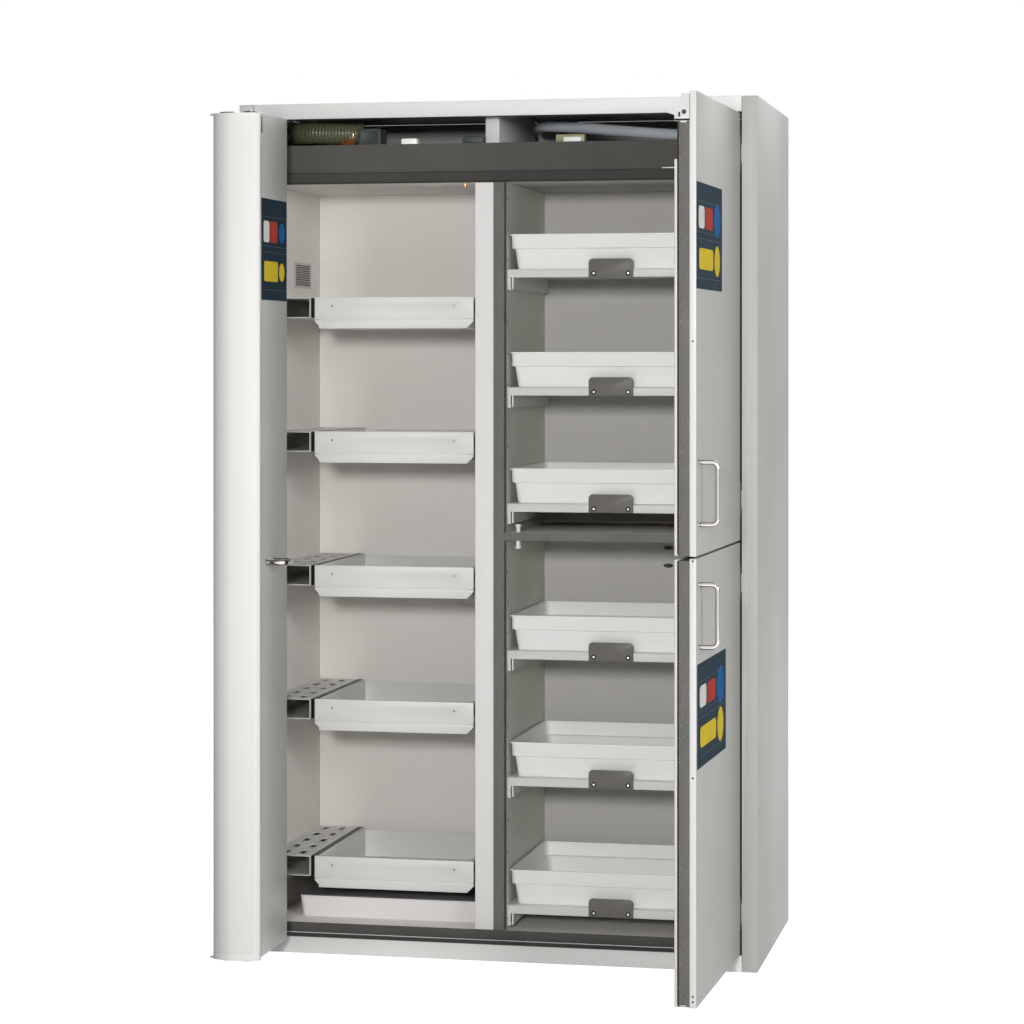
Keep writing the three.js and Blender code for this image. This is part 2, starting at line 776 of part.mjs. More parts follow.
// Rounded profile in front of the fold, with end caps that carry the leaf pins
function foldProfile(parent) {
  const halfWide = 53.5;
  const wall = 2;
  const bulge = 17;
  const edge = 3;
  const leafRoom = 1.2; // leaves to the profile's back
  const back = -leafRound - leafRoom;
  const waist = back - edge;
  const foot = doorFoot;
  const lens = (inset, rearY) => {
    const shape = new THREE.Shape();
    shape.moveTo(-halfWide + inset, rearY);
    shape.lineTo(-halfWide + inset, waist);
    shape.absellipse(0, waist, halfWide - inset, bulge - inset, Math.PI, Math.PI * 2, false, 0);
    shape.lineTo(halfWide - inset, rearY);
    return shape;
  };
  const tongueHalf = foldSpan / 2 + pinRound * 3;
  const cap = (z0, z1) =>
    join(
      raise(lens(wall / 2, back - wall / 2), z0, z1, 14),
      box(-tongueHalf, tongueHalf, back - wall, pinRound * 3, z0, z1),
    );
  const headRound = 7;
  const headHigh = 2.4;
  const hollow = raise(lens(wall, back + overrun), foot - overrun, capZ + overrun, 14);
  const pieces = [
    cut(raise(lens(0, back), foot, capZ, 14), hollow),
    cap(foot, leafFoot - gap),
    cap(leafHead + gap, capZ),
  ];
  for (const x of [-foldSpan / 2, foldSpan / 2]) {
    const pinTop = x > 0 ? armZ + armThick : capZ - capThick / 2;
    pieces.push(upright(x, 0, pinRound, foot + capThick / 2, leafFoot + pinDeep));
    pieces.push(upright(x, 0, pinRound, leafHead - pinDeep, pinTop));
    pieces.push(upright(x, 0, headRound, foot - headHigh, foot + capThick / 4));
  }
  place("fold_profile", join(...pieces), finish.white, parent);
}

// The folding door stands fully folded: rear leaf, profile and front leaf at right angles to the front
function foldingDoor() {
  const rear = new THREE.Group();
  rear.position.set(pivotX, pivotY, 0);
  rear.rotation.z = -Math.PI / 2;
  cabinet.add(rear);
  foldLeaf("rear", rearReach, false, rear);

  const profile = new THREE.Group();
  profile.position.set(pivotX + foldSpan / 2, pivotY - rearReach, 0);
  cabinet.add(profile);
  foldProfile(profile);

  const front = new THREE.Group();
  front.position.set(pivotX + foldSpan, pivotY - rearReach, 0);
  front.rotation.z = Math.PI / 2;
  cabinet.add(front);
  foldLeaf("front", frontReach, true, front);

  const handleSpacing = 62;
  const handleStandoff = 43;
  const handleIn = 69; // both legs clear the profile's edge when the door is shut
  const handleShare = 0.466;
  const handleRound = 6;
  const handleZ = leafFoot + (leafHead - leafFoot) * handleShare;
  const grip = bow(handleSpacing, handleStandoff, handleRound, false);
  const handle = place("fold_handle", grip, finish.chrome, front);
  handle.position.set(handleIn, -leafRound - gap, handleZ);

  const eye = (x) => upright(x, 0, armWide / 2, armZ, armZ + armThick, 20);
  const hole = (x) => upright(x, 0, pinRound + pinFit, armZ - overrun, armZ + armThick + overrun);
  const bar = box(0, rearReach, -armWide / 2, armWide / 2, armZ, armZ + armThick);
  const link = cut(join(eye(0), bar, eye(rearReach)), hole(0), hole(rearReach));
  const arm = place("guide_arm", link, finish.zinc);
  arm.position.set(pivotX + foldSpan, pivotY, 0);
  arm.rotation.z = -Math.PI / 2;
}

// A wing door, drawn closed about its hinge axis and then turned open: x is negative towards the free edge
function wingDoor({ name, z0, z1, handleShare, coreDrop, innerDrop }) {
  const door = new THREE.Group();
  door.position.set(hingeX, hingeY, 0);
  door.rotation.z = openAngle;
  cabinet.add(door);
  const outerY = frontY - hingeY;
  const freeX = centreGap / 2 - hingeX;
  const edgeX = -hingeReach;
  const skinDeep = 13.5;
  const coreDeep = 24;
  const innerDeep = 7.4;
  const innerFoot = 1.5;
  const coreY = outerY + skinDeep + gap;
  const innerY = coreY + coreDeep;
  const inset = 2;

  const pocket = box(
    freeX + sheet,
    edgeX - sheet,
    outerY + sheet,
    outerY + skinDeep + overrun,
    z0 + sheet,
    z1 - sheet,
  );
  let skin = cut(box(freeX, edgeX, outerY, outerY + skinDeep, z0, z1), pocket);
  for (const z of [z0 + hingeEndHigh, z1 - hingeEndHigh]) {
    for (const way of [-1, 1]) {
      const near = z + way * (knuckleHalf + gap);
      const far = near + way * knuckleEnd;
      const tip = z + way * pinRound;
      const [low, high] = [Math.min(near, far), Math.max(near, far)];
      const knuckle = join(
        upright(0, 0, knuckleRound, low, high, 20),
        box(edgeX - sheet / 2, 0, outerY, outerY + sheet, low, high),
        upright(0, 0, hingePinRound, Math.min(tip, far), Math.max(tip, far)),
      );
      skin = join(skin, knuckle);
    }
  }
  if (name === "door_upper") {
    // Latch plate over the free edge, with a lobe that reaches behind the top rail
    const plateThick = 2.5;
    const plateDown = 5; // plate's head to the door's head
    const lobeDown = 12; // lobe's head to the door's head
    const lobeOut = 24;
    const lobeUp = 4; // over the top board
    const plateFoot = z1 - coreDrop + inset;
    const plateHead = z1 - plateDown;
    const lobeFoot = topBoardZ + lobeUp;
    const lobeHead = z1 - lobeDown;
    const plateBack = innerY + innerDeep;
    const eyeRound = 3;
    const eyeY = plateBack + lobeOut / 3;
    const eyeZ = lobeHead - lobeOut / 3;
    const lobe = alongX(
      [
        [outerY + sheet / 2, plateFoot],
        [plateBack, plateFoot],
        [plateBack, lobeFoot],
        [plateBack + lobeOut * 0.6, lobeFoot + lobeOut * 0.2],
        [plateBack + lobeOut, lobeFoot + lobeOut * 0.8],
        [plateBack + lobeOut, lobeHead],
        [plateBack, lobeHead],
        [plateBack, plateHead],
        [outerY + sheet / 2, plateHead],
      ],
      freeX,
      freeX + plateThick,
    );
    const eye = rod([freeX - overrun, eyeY, eyeZ], [freeX + plateThick + overrun, eyeY, eyeZ], eyeRound, 10);
    skin = join(skin, cut(lobe, eye));
  }
  place(`${name}_skin`, skin, finish.casing, door);

  const padX0 = freeX + sheet + gap + (name === "door_upper" ? sheet : 0);
  const padX1 = edgeX - sheet - gap;
  const padY = outerY + sheet + gap;
  const padZ = z0 + sheet + gap;
  const core = join(
    box(freeX, edgeX, coreY, innerY - gap, z0 + inset, z1 - coreDrop),
    box(padX0, padX1, padY, coreY + overrun, padZ, z1 - coreDrop),
  );
  place(`${name}_core`, core, finish.seal, door);
  const inner = box(freeX, edgeX - inset, innerY, innerY + innerDeep, z0 + innerFoot, z1 - innerDrop);
  place(`${name}_inner`, inner, finish.white, door);

  const handleSpacing = 128;
  const handleStandoff = 40;
  const handleIn = 28;
  const grip = bow(handleSpacing, handleStandoff, bowRound, true);
  const handle = place(`${name}_handle`, grip, finish.chrome, door);
  handle.position.set(freeX + handleIn, outerY - gap, z0 + (z1 - z0) * handleShare);
}

casing();
boards();
technicalSpace();
leftCompartment();
shelfRunnerPanels();
foldingDoor();
wingDoors.forEach((door) => wingDoor(door));
trayBottoms.forEach((bottom, i) => tray(i + 1, bottom, cabinet));
shelfTops.forEach((top, i) => shelf(i + 1, top, cabinet));

export default cabinet;
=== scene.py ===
import json
import math
import bpy
from mathutils import Matrix, Vector


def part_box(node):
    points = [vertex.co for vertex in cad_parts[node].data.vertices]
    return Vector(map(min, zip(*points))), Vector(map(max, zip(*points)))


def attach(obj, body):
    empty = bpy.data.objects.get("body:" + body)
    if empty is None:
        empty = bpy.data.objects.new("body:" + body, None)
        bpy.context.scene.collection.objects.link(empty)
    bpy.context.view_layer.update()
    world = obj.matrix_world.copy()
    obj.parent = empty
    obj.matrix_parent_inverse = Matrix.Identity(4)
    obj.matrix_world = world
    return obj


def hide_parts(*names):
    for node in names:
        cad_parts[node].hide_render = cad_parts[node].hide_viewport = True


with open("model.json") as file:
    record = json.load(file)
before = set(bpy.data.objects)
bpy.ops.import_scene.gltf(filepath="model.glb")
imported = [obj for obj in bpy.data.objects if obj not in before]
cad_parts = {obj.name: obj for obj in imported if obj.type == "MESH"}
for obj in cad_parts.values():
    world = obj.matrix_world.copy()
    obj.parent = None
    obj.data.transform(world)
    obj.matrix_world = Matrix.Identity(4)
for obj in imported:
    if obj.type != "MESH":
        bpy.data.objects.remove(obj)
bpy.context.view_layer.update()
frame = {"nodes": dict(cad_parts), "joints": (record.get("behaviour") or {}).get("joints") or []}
nodes = frame["nodes"]
joints = {joint["name"]: joint for joint in frame["joints"]}

# Camera at the photograph's viewing angle
cameraSetup = {
    "place": (1.38135, -6.66933, 1.36314),
    "yaw": 11.977,
    "lens": 101.07,
    "sensor": 36,
    "shift": (0.0046, -0.149),
    "clipEnd": 60,
}


def addToScene(name, data):
    item = bpy.data.objects.new(name, data)
    bpy.context.collection.objects.link(item)
    return item


def placeCamera():
    data = bpy.data.cameras.new("camera")
    data.lens = cameraSetup["lens"]
    data.sensor_width = cameraSetup["sensor"]
    data.shift_x, data.shift_y = cameraSetup["shift"]
    data.clip_end = cameraSetup["clipEnd"]
    camera = addToScene("camera", data)
    camera.location = cameraSetup["place"]
    camera.rotation_euler = (math.radians(90), 0, math.radians(cameraSetup["yaw"]))
    bpy.context.scene.camera = camera


placeCamera()
print("camera placed")


# Shader helpers
def feed(tree, socket, value):
    # Sets a socket to a number or a colour, or links another socket to it
    if isinstance(value, bpy.types.NodeSocket):
        tree.links.new(value, socket)
    elif isinstance(value, tuple):
        socket.default_value = (*value, 1)
    else:
        socket.default_value = value


def addNode(tree, kind, inputs=None, **settings):
    node = tree.nodes.new("ShaderNode" + kind)
    for label, value in settings.items():
        setattr(node, label, value)
    for label, value in (inputs or {}).items():
        feed(tree, node.inputs[label], value)
    return node


def addMath(tree, operation, *values):
    return addNode(tree, "Math", dict(enumerate(values)), operation=operation).outputs[0]


def addNoise(tree, place, scale, detail=2.0):
    return addNode(tree, "TexNoise", {"Vector": place, "Scale": scale, "Detail": detail}).outputs["Fac"]


def addRange(tree, value, low, high):
    return addNode(tree, "MapRange", {"Value": value, "From Min": low, "From Max": high}).outputs["Result"]


def mixColours(tree, mask, first, second):
    return addNode(tree, "Mix", {0: mask, 6: first, 7: second}, data_type="RGBA").outputs[2]


def objectPlace(tree):
    return addNode(tree, "TexCoord").outputs["Object"]


def objectAxes(tree):
    return addNode(tree, "SeparateXYZ", {"Vector": objectPlace(tree)}).outputs


def seenDirectly(tree):
    # 1 for camera, glossy and transmission rays, 0 for the light that falls on the object
    rays = addNode(tree, "LightPath").outputs
    seen = addMath(tree, "MAXIMUM", rays["Is Camera Ray"], rays["Is Glossy Ray"])
    return addMath(tree, "MAXIMUM", seen, rays["Is Transmission Ray"])


def newMaterial(name, roughness, metallic=0.0, specular=0.5):
    material = bpy.data.materials.new(name)
    material.use_nodes = True
    shader = material.node_tree.nodes["Principled BSDF"].inputs
    shader["Roughness"].default_value = roughness
    shader["Metallic"].default_value = metallic
    shader["Specular IOR Level"].default_value = specular
    return material, material.node_tree, shader


# Studio: a white floor that keeps a faint shadow, a soft white world and large lamps
studio = {
    "floorSize": 40,
    "floorDrop": 0.0005,
    "floorColour": (0.86, 0.86, 0.86),
    "floorGlow": 0.82,
    "floorRough": 0.9,
    "worldLevel": 0.22,
    "lamps": [
        {"name": "frontLamp", "place": (0.9, -7.4, 1.95), "aim": (0, -0.3, 0.95), "size": 0.5, "power": 210},
        {"name": "keyLamp", "place": (-3.6, -5.2, 4.2), "aim": (0, -0.3, 1.0), "size": 3.2, "power": 12},
        {"name": "fillLamp", "place": (4.4, -4.8, 2.2), "aim": (-0.2, -0.2, 1.0), "size": 1.4, "power": 140},
        {"name": "backLamp", "place": (1.5, 5.5, 4.5), "aim": (0, 0, 1.0), "size": 4.0, "power": 120},
    ],
}


def buildStudio():
    scene = bpy.context.scene
    scene.view_settings.view_transform = "Standard"
    world = bpy.data.worlds.new("studioWorld")
    world.use_nodes = True
    scene.world = world
    tree = world.node_tree
    background = tree.nodes["Background"].inputs
    background["Color"].default_value = (1, 1, 1, 1)
    levels = {"Value": seenDirectly(tree), "To Min": studio["worldLevel"], "To Max": 1.0}
    feed(tree, background["Strength"], addNode(tree, "MapRange", levels).outputs["Result"])

    bpy.ops.mesh.primitive_plane_add(size=studio["floorSize"], location=(0, 0, -studio["floorDrop"]))
    floor = bpy.context.object
    floor.name = "studioFloor"
    material, tree, shader = newMaterial("floorMaterial", studio["floorRough"], specular=0.0)
    shader["Base Color"].default_value = (*studio["floorColour"], 1)
    shader["Emission Color"].default_value = (1, 1, 1, 1)
    glow = addMath(tree, "MULTIPLY", seenDirectly(tree), studio["floorGlow"])
    feed(tree, shader["Emission Strength"], glow)
    floor.data.materials.append(material)

    for lamp in studio["lamps"]:
        data = bpy.data.lights.new(lamp["name"], "AREA")
        data.size = lamp["size"]
        data.energy = lamp["power"]
        light = addToScene(lamp["name"], data)
        light.location = lamp["place"]
        aim = Vector(lamp["aim"]) - Vector(lamp["place"])
        light.rotation_euler = aim.to_track_quat("-Z", "Y").to_euler()


buildStudio()
print("studio built")


# Shared shader groups: each reads Object coordinates or the mesh's own form, and puts out masks or heights
def newGroup(name, inputs, outputs):
    group = bpy.data.node_groups.new(name, "ShaderNodeTree")
    for label, value in inputs.items():
        socket = group.interface.new_socket(name=label, in_out="INPUT", socket_type="NodeSocketFloat")
        socket.default_value = value
    for label in outputs:
        group.interface.new_socket(name=label, in_out="OUTPUT", socket_type="NodeSocketFloat")
    return group, group.nodes.new("NodeGroupInput").outputs, group.nodes.new("NodeGroupOutput").inputs


def powderGrainGroup():
    group, start, end = newGroup("powderGrain", {"Grain": 700.0, "Mottle": 3.0}, ("Height", "Mask"))
    place = objectPlace(group)
    feed(group, end["Height"], addNoise(group, place, start["Grain"]))
    clouds = addNoise(group, place, start["Mottle"], 5.0)
    feed(group, end["Mask"], addRange(group, clouds, 0.35, 0.68))
    return group


def fleckGroup():
    group, start, end = newGroup("flecks", {"Scale": 300.0, "Cover": 0.6}, ("Mask", "Height"))
    grain = addNoise(group, objectPlace(group), start["Scale"], 3.0)
    over = addMath(group, "SUBTRACT", grain, start["Cover"])
    sharp = addMath(group, "MAXIMUM", addMath(group, "MULTIPLY", over, 14.0), 0.0)
    feed(group, end["Mask"], addMath(group, "MINIMUM", sharp, 1.0))
    feed(group, end["Height"], grain)
    return group


def edgeRubGroup():
    group, start, end = newGroup("edgeRub", {"Low": 0.52, "High": 0.6}, ("Mask",))
    worn = addNode(group, "NewGeometry").outputs["Pointiness"]
    feed(group, end["Mask"], addRange(group, worn, start["Low"], start["High"]))
    return group


def brushGroup():
    group, start, end = newGroup("brushing", {"Across": 40.0, "Along": 1200.0}, ("Height", "Mask"))
    axes = objectAxes(group)
    scales = {"X": start["Across"], "Y": start["Across"], "Z": start["Along"]}
    drawn = {axis: addMath(group, "MULTIPLY", axes[axis], scale) for axis, scale in scales.items()}
    hair = addNoise(group, addNode(group, "CombineXYZ", drawn).outputs["Vector"], 1.0, 4.0)
    feed(group, end["Height"], hair)
    feed(group, end["Mask"], addRange(group, hair, 0.3, 0.7))
    return group


groups = {
    "powderGrain": powderGrainGroup(),
    "flecks": fleckGroup(),
    "edgeRub": edgeRubGroup(),
    "brushing": brushGroup(),
}


def placeGroup(tree, name, **values):
    return addNode(tree, "Group", values, node_tree=groups[name]).outputs


def toLinear(colour):
    scaled = [value / 255 for value in colour]
    return tuple(v / 12.92 if v < 0.04045 else ((v + 0.055) / 1.055) ** 2.4 for v in scaled)


def shaded(colour, share):
    return tuple(min(1.0, value * share) for value in colour)


def addBump(tree, shader, height, strength, distance):
    bump = addNode(tree, "Bump", {"Height": height, "Strength": strength, "Distance": distance})
    feed(tree, shader["Normal"], bump.outputs["Normal"])


def surface(name, colour, coat, shade, bump, roughness, gloss=0.0, rub=None, metallic=0.0, specular=0.5):
    # The base tone darkened by a group's mask and worn paler at the edges, with the group's height as bump
    material, tree, shader = newMaterial(name, roughness, metallic, specular)
    base = toLinear(colour)
    group, values = coat
    coat = placeGroup(tree, group, **values)
    tone = mixColours(tree, coat["Mask"], base, shaded(base, shade))
    if rub:
        low, high, share = rub
        worn = placeGroup(tree, "edgeRub", Low=low, High=high)["Mask"]
        tone = mixColours(tree, worn, tone, shaded(base, share))
    if gloss:
        feed(tree, shader["Roughness"], addMath(tree, "MULTIPLY_ADD", coat["Mask"], gloss, roughness))
    feed(tree, shader["Base Color"], tone)
    addBump(tree, shader, coat["Height"], *bump)
    return material, tree, shader, tone


def powderCoat(name, colour, roughness=0.42, contrast=0.03, mottle=2.2, specular=0.3, paintedSideShade=None):
    coat = ("powderGrain", {"Grain": 650.0, "Mottle": mottle})
    material, tree, shader, tone = surface(name, colour, coat, 1 - contrast, (0.12, 0.0003), roughness - 0.04,
                                           gloss=0.08, rub=(0.52, 0.6, 1.12), specular=specular)
    if paintedSideShade:
        # Painted shade: darker toward the piece's outer side, standing in for the side turned from the light;
        # where that starts and ends along X, and its share of the tone
        outer, inner, share = paintedSideShade
        paintedShadeMask = addRange(tree, objectAxes(tree)["X"], outer, inner)
        feed(tree, shader["Base Color"], mixColours(tree, paintedShadeMask, shaded(toLinear(colour), share), tone))
    return material


def mouldedPlastic(name, colour):
    coat = ("powderGrain", {"Grain": 1400.0, "Mottle": 7.0})
    made = surface(name, colour, coat, 0.965, (0.08, 0.0002), 0.38, rub=(0.53, 0.62, 1.06))
    made[2]["Subsurface Weight"].default_value = 0.04
    return made[0]


def printedFilm(name, colour):
    coat = ("powderGrain", {"Grain": 900.0, "Mottle": 14.0})
    return surface(name, colour, coat, 0.9, (0.05, 0.0001), 0.8, specular=0.08)[0]


def brightMetal(name, colour, roughness):
    coat = ("brushing", {"Across": 40.0, "Along": 900.0})
    return surface(name, colour, coat, 0.88, (0.05, 0.0001), roughness, gloss=0.12, metallic=1.0)[0]


def sealStrip(name, colour, speck=(150, 148, 142), cover=0.66):
    # Dark swelling strip with pale specks
    coat = ("powderGrain", {"Grain": 240.0, "Mottle": 6.0})
    material, tree, shader, tone = surface(name, colour, coat, 0.82, (0.25, 0.0006), 0.72, specular=0.3)
    specks = placeGroup(tree, "flecks", Scale=420.0, Cover=cover)["Mask"]
    feed(tree, shader["Base Color"], mixColours(tree, specks, tone, toLinear(speck)))
    return material


def facedBoard(name, colour, fleck=0.96, shadedRightColour=None, rightFrom=-0.02):
    # Resin-faced mineral board: pale, matt and finely flecked, with painted light and shade: colour is a
    # paler lit copy and shadedRightColour a darker shaded copy that faces the right compartment
    material, tree, shader = newMaterial(name, 0.62, specular=0.35)
    grain = placeGroup(tree, "flecks", Scale=260.0, Cover=0.56)
    cloud = placeGroup(tree, "powderGrain", Grain=300.0, Mottle=1.6)

    def boardTone(base, cloudShare):
        tone = mixColours(tree, cloud["Mask"], base, shaded(base, cloudShare))
        return mixColours(tree, grain["Mask"], tone, shaded(base, fleck))

    tone = boardTone(toLinear(colour), 0.965)
    if shadedRightColour:
        side = addMath(tree, "GREATER_THAN", objectAxes(tree)["X"], rightFrom)
        tone = mixColours(tree, side, tone, boardTone(toLinear(shadedRightColour), 0.95))
    feed(tree, shader["Base Color"], tone)
    addBump(tree, shader, grain["Height"], 0.1, 0.0004)
    return material


def polishedBar(name, colour, dark):
    # Mirror finish with a painted reflection: a dark band mixed into the colour by facing, for the bands a
    # round bar shows between its lit middle and its edges
    material, tree, shader = newMaterial(name, 0.1, metallic=1.0)
    hair = placeGroup(tree, "brushing", Across=40.0, Along=900.0)
    facing = addNode(tree, "LayerWeight", {"Blend": 0.5}).outputs["Facing"]
    band = addMath(tree, "MULTIPLY", addRange(tree, facing, 0.2, 0.3), addRange(tree, facing, 0.66, 0.5))
    feed(tree, shader["Base Color"], mixColours(tree, band, toLinear(colour), toLinear(dark)))
    feed(tree, shader["Roughness"], addMath(tree, "MULTIPLY_ADD", hair["Mask"], 0.06, 0.07))
    return material


paints = {
    # casing, rail and door are one powder coat in three tones, painted light and shade: rail the lit copy,
    # casing a shaded copy and door a darker shaded copy
    "casing": powderCoat("casingPaint", (193, 193, 190)),
    "rail": powderCoat("railPaint", (208, 208, 206)),
    "door": powderCoat("doorPaint", (172, 172, 168), specular=0.15),
    # shelf is a paler copy of white, painted light for the shelf strips
    "shelf": powderCoat("shelfPaint", (218, 218, 214), roughness=0.4, contrast=0.025, mottle=5.0),
    "white": powderCoat("whitePaint", (214, 214, 210), roughness=0.4, contrast=0.025, mottle=5.0),
    # The profile carries painted shade on its outer side
    "profile": powderCoat("profilePaint", (229, 228, 225), roughness=0.4, contrast=0.015, specular=0.1,
                          paintedSideShade=(-0.569, -0.522, 0.6)),
    # The wall boards' two tones are painted light and shade
    "wall": facedBoard("wallBoard", (238, 234, 229), shadedRightColour=(206, 203, 197)),
    "runner": powderCoat("runnerPaint", (212, 214, 205), roughness=0.45, contrast=0.05, mottle=5.0),
    "stile": facedBoard("stileBoard", (240, 238, 236), fleck=0.97),
    "panel": powderCoat("doorPanelPaint", (198, 197, 193), roughness=0.46),
    "seal": sealStrip("sealStrip", (84, 82, 79)),
    "centreSeal": sealStrip("centreStrip", (118, 118, 112), speck=(150, 150, 144), cover=0.64),
    "beamSeal": sealStrip("beamStrip", (84, 82, 79), speck=(108, 106, 102)),
    "beamLip": sealStrip("beamLipStrip", (60, 59, 56), speck=(84, 82, 78), cover=0.68),
    "speckledSeal": sealStrip("doorSeal", (104, 101, 97), cover=0.62),
    "line": sealStrip("grooveShadow", (34, 33, 32), speck=(52, 50, 48), cover=0.7),
    "core": sealStrip("coreBoard", (96, 94, 90), cover=0.63),
    "grip": powderCoat("gripPaint", (104, 101, 97), roughness=0.4, contrast=0.06, mottle=14.0),
    "tub": mouldedPlastic("tubPlastic", (251, 251, 247)),
    "chrome": polishedBar("polishedBar", (206, 201, 199), (70, 60, 60)),
    "zinc": brightMetal("zincPlate", (178, 182, 184), 0.32),
    "screw": brightMetal("screwHead", (236, 236, 232), 0.24),
    "brass": brightMetal("brassBand", (200, 150, 92), 0.22),
    "slide": brightMetal("slideSteel", (92, 94, 92), 0.36),
    "insert": powderCoat("insertPaint", (112, 112, 114), roughness=0.4, contrast=0.12, mottle=9.0),
    "sump": powderCoat("sumpPaint", (225, 221, 220), roughness=0.34, contrast=0.02, mottle=4.0),
    "liner": powderCoat("bracketLiner", (188, 192, 182), roughness=0.5, contrast=0.12, mottle=12.0),
    "hose": powderCoat("hoseSkin", (88, 90, 70), roughness=0.24, contrast=0.25, mottle=9.0),
    "pipe": powderCoat("pipeSkin", (186, 192, 198), roughness=0.34, contrast=0.08, mottle=6.0),
    "box": powderCoat("damperPaint", (52, 58, 56), roughness=0.45, contrast=0.2, mottle=9.0),
    "clip": mouldedPlastic("clipPlastic", (244, 243, 236)),
    "clipFrame": mouldedPlastic("clipFrame", (150, 148, 112)),
    "navy": printedFilm("signFilm", (34, 50, 62)),
    "signLine": printedFilm("signLine", (84, 96, 106)),
    "signPale": printedFilm("signPale", (226, 224, 218)),
    "signRed": printedFilm("signRed", (176, 62, 54)),
    "signBlue": printedFilm("signBlue", (30, 98, 160)),
    "signAmber": printedFilm("signAmber", (222, 196, 52)),
}
print("materials made")


# Modelling helpers
def clearSelection():
    for item in list(bpy.context.selected_objects):
        item.select_set(False)


def makeActive(piece):
    clearSelection()
    piece.select_set(True)
    bpy.context.view_layer.objects.active = piece


def placedPrimitive(name="part"):
    # Names the primitive just added and puts its place, turn and scale into its mesh
    piece = bpy.context.object
    piece.name = name
    makeActive(piece)
    bpy.ops.object.transform_apply(location=True, rotation=True, scale=True)
    return piece


def addBlock(low, high, name="part"):
    clearSelection()
    low, high = Vector(low), Vector(high)
    bpy.ops.mesh.primitive_cube_add(size=1, location=(low + high) / 2, scale=high - low)
    return placedPrimitive(name)


def addRound(centre, radius, depth, axis="Z", sides=32):
    clearSelection()
    quarter = math.radians(90)
    turn = {"X": (0, quarter, 0), "Y": (quarter, 0, 0), "Z": (0, 0, 0)}[axis]
    size = {"vertices": sides, "radius": radius, "depth": depth}
    bpy.ops.mesh.primitive_cylinder_add(**size, location=centre, rotation=turn)
    return placedPrimitive()


def enterEdit(piece, kind="FACE", action="DESELECT"):
    makeActive(piece)
    bpy.ops.object.mode_set(mode="EDIT")
    bpy.ops.mesh.select_mode(type=kind)
    bpy.ops.mesh.select_all(action=action)


def leaveEdit():
    bpy.ops.object.mode_set(mode="OBJECT")


def pickFaces(piece, wanted):
    enterEdit(piece)
    leaveEdit()
    for face in piece.data.polygons:
        face.select = wanted(face.center, face.normal)
    bpy.ops.object.mode_set(mode="EDIT")


def roundEdges(piece, radius, segments, wanted):
    # Rounds the edges a test picks by their middle and direction
    enterEdit(piece, "EDGE")
    leaveEdit()
    points = piece.data.vertices
    for edge in piece.data.edges:
        first, second = (points[i].co for i in edge.vertices)
        edge.select = wanted((first + second) / 2, (second - first).normalized())
    bpy.ops.object.mode_set(mode="EDIT")
    bpy.ops.mesh.bevel(offset=radius, segments=segments, affect="EDGES")
    leaveEdit()


def roundUprights(piece, radius, segments):
    roundEdges(piece, radius, segments, lambda centre, way: abs(way.z) > 0.9)


def pushFaces(amount, widen=None):
    # Extrudes the picked faces by a vector, then scales them about their own centre
    bpy.ops.mesh.extrude_region_move(TRANSFORM_OT_translate={"value": amount})
    if widen:
        bpy.ops.transform.resize(value=widen)


def recess(piece, way, border, move):
    # Insets the faces that look one way and pushes them by a vector
    pickFaces(piece, lambda centre, normal: normal.dot(Vector(way)) > 0.9)
    bpy.ops.mesh.inset(thickness=border)
    pushFaces(move)
    leaveEdit()
    return piece


def stretch(piece, share):
    enterEdit(piece, action="SELECT")
    bpy.ops.transform.resize(value=share)
    leaveEdit()
    return piece


def markFaces(piece, paint, wanted):
    # A second paint on the faces a test picks
    piece.data.materials.append(paints[paint])
    for face in piece.data.polygons:
        if wanted(face.center, face.normal):
            face.material_index = len(piece.data.materials) - 1


def knuckleFaces(joint):
    # A test for the faces of a hinge knuckle, round the joint's own axis
    axis = Vector(joints[joint]["pos_m"]).to_2d()
    return lambda spot, normal: (spot.to_2d() - axis).length < 0.0045


def applyModifier(piece, modifier):
    makeActive(piece)
    bpy.ops.object.modifier_apply(modifier=modifier.name)


def smoothBelow(piece, angle):
    makeActive(piece)
    bpy.ops.object.shade_smooth_by_angle(angle=math.radians(angle))
    return piece


def softEdges(piece, width, segments=2):
    bevel = piece.modifiers.new("edges", "BEVEL")
    bevel.width = width
    bevel.segments = segments
    bevel.limit_method = "ANGLE"
    bevel.angle_limit = math.radians(35)
    bevel.use_clamp_overlap = True
    applyModifier(piece, bevel)
    return smoothBelow(piece, 38)


def cutAway(piece, cutters):
    for cutter in cutters:
        cut = piece.modifiers.new("cut", "BOOLEAN")
        cut.operation = "DIFFERENCE"
        cut.solver = "EXACT"
        cut.object = cutter
        applyModifier(piece, cut)
        discard(cutter)
    return piece


def discard(*pieces):
    for piece in pieces:
        bpy.data.objects.remove(piece, do_unlink=True)


def joinPieces(name, pieces):
    makeActive(pieces[0])
    for item in pieces:
        item.select_set(True)
    if len(pieces) > 1:
        bpy.ops.object.join()
    pieces[0].name = name
    return pieces[0]


def copyOf(piece, name, move=(0, 0, 0)):
    twin = addToScene(name, piece.data.copy())
    twin.data.transform(Matrix.Translation(Vector(move)))
    return twin


def settle(piece, paint, slot, body="carcass", *replaced):
    # Paints a finished piece and hands it to its body; None keeps the paints it has
    if paint:
        piece.data.materials.clear()
        piece.data.materials.append(paints[paint])
    if replaced:
        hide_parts(*replaced)
    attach(piece, body)
    return piece


def copyDown(node, count, home, *masters):
    # Copies masters made at a row's first node to every node of the row: master, name ending, paint and slot.
    # The finished one stands for its node; home is the row of bodies that they ride, or the carcass
    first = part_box(node + "_1")[0]
    for number in range(1, count + 1):
        name = f"{node}_{number}"
        body = home if home == "carcass" else f"{home}_{number}"
        for piece, ending, paint, slot in masters:
            twin = copyOf(piece, name + ending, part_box(name)[0] - first)
            settle(twin, paint, slot, body, *([name] if ending == "_finished" else []))
    discard(*(master[0] for master in masters))


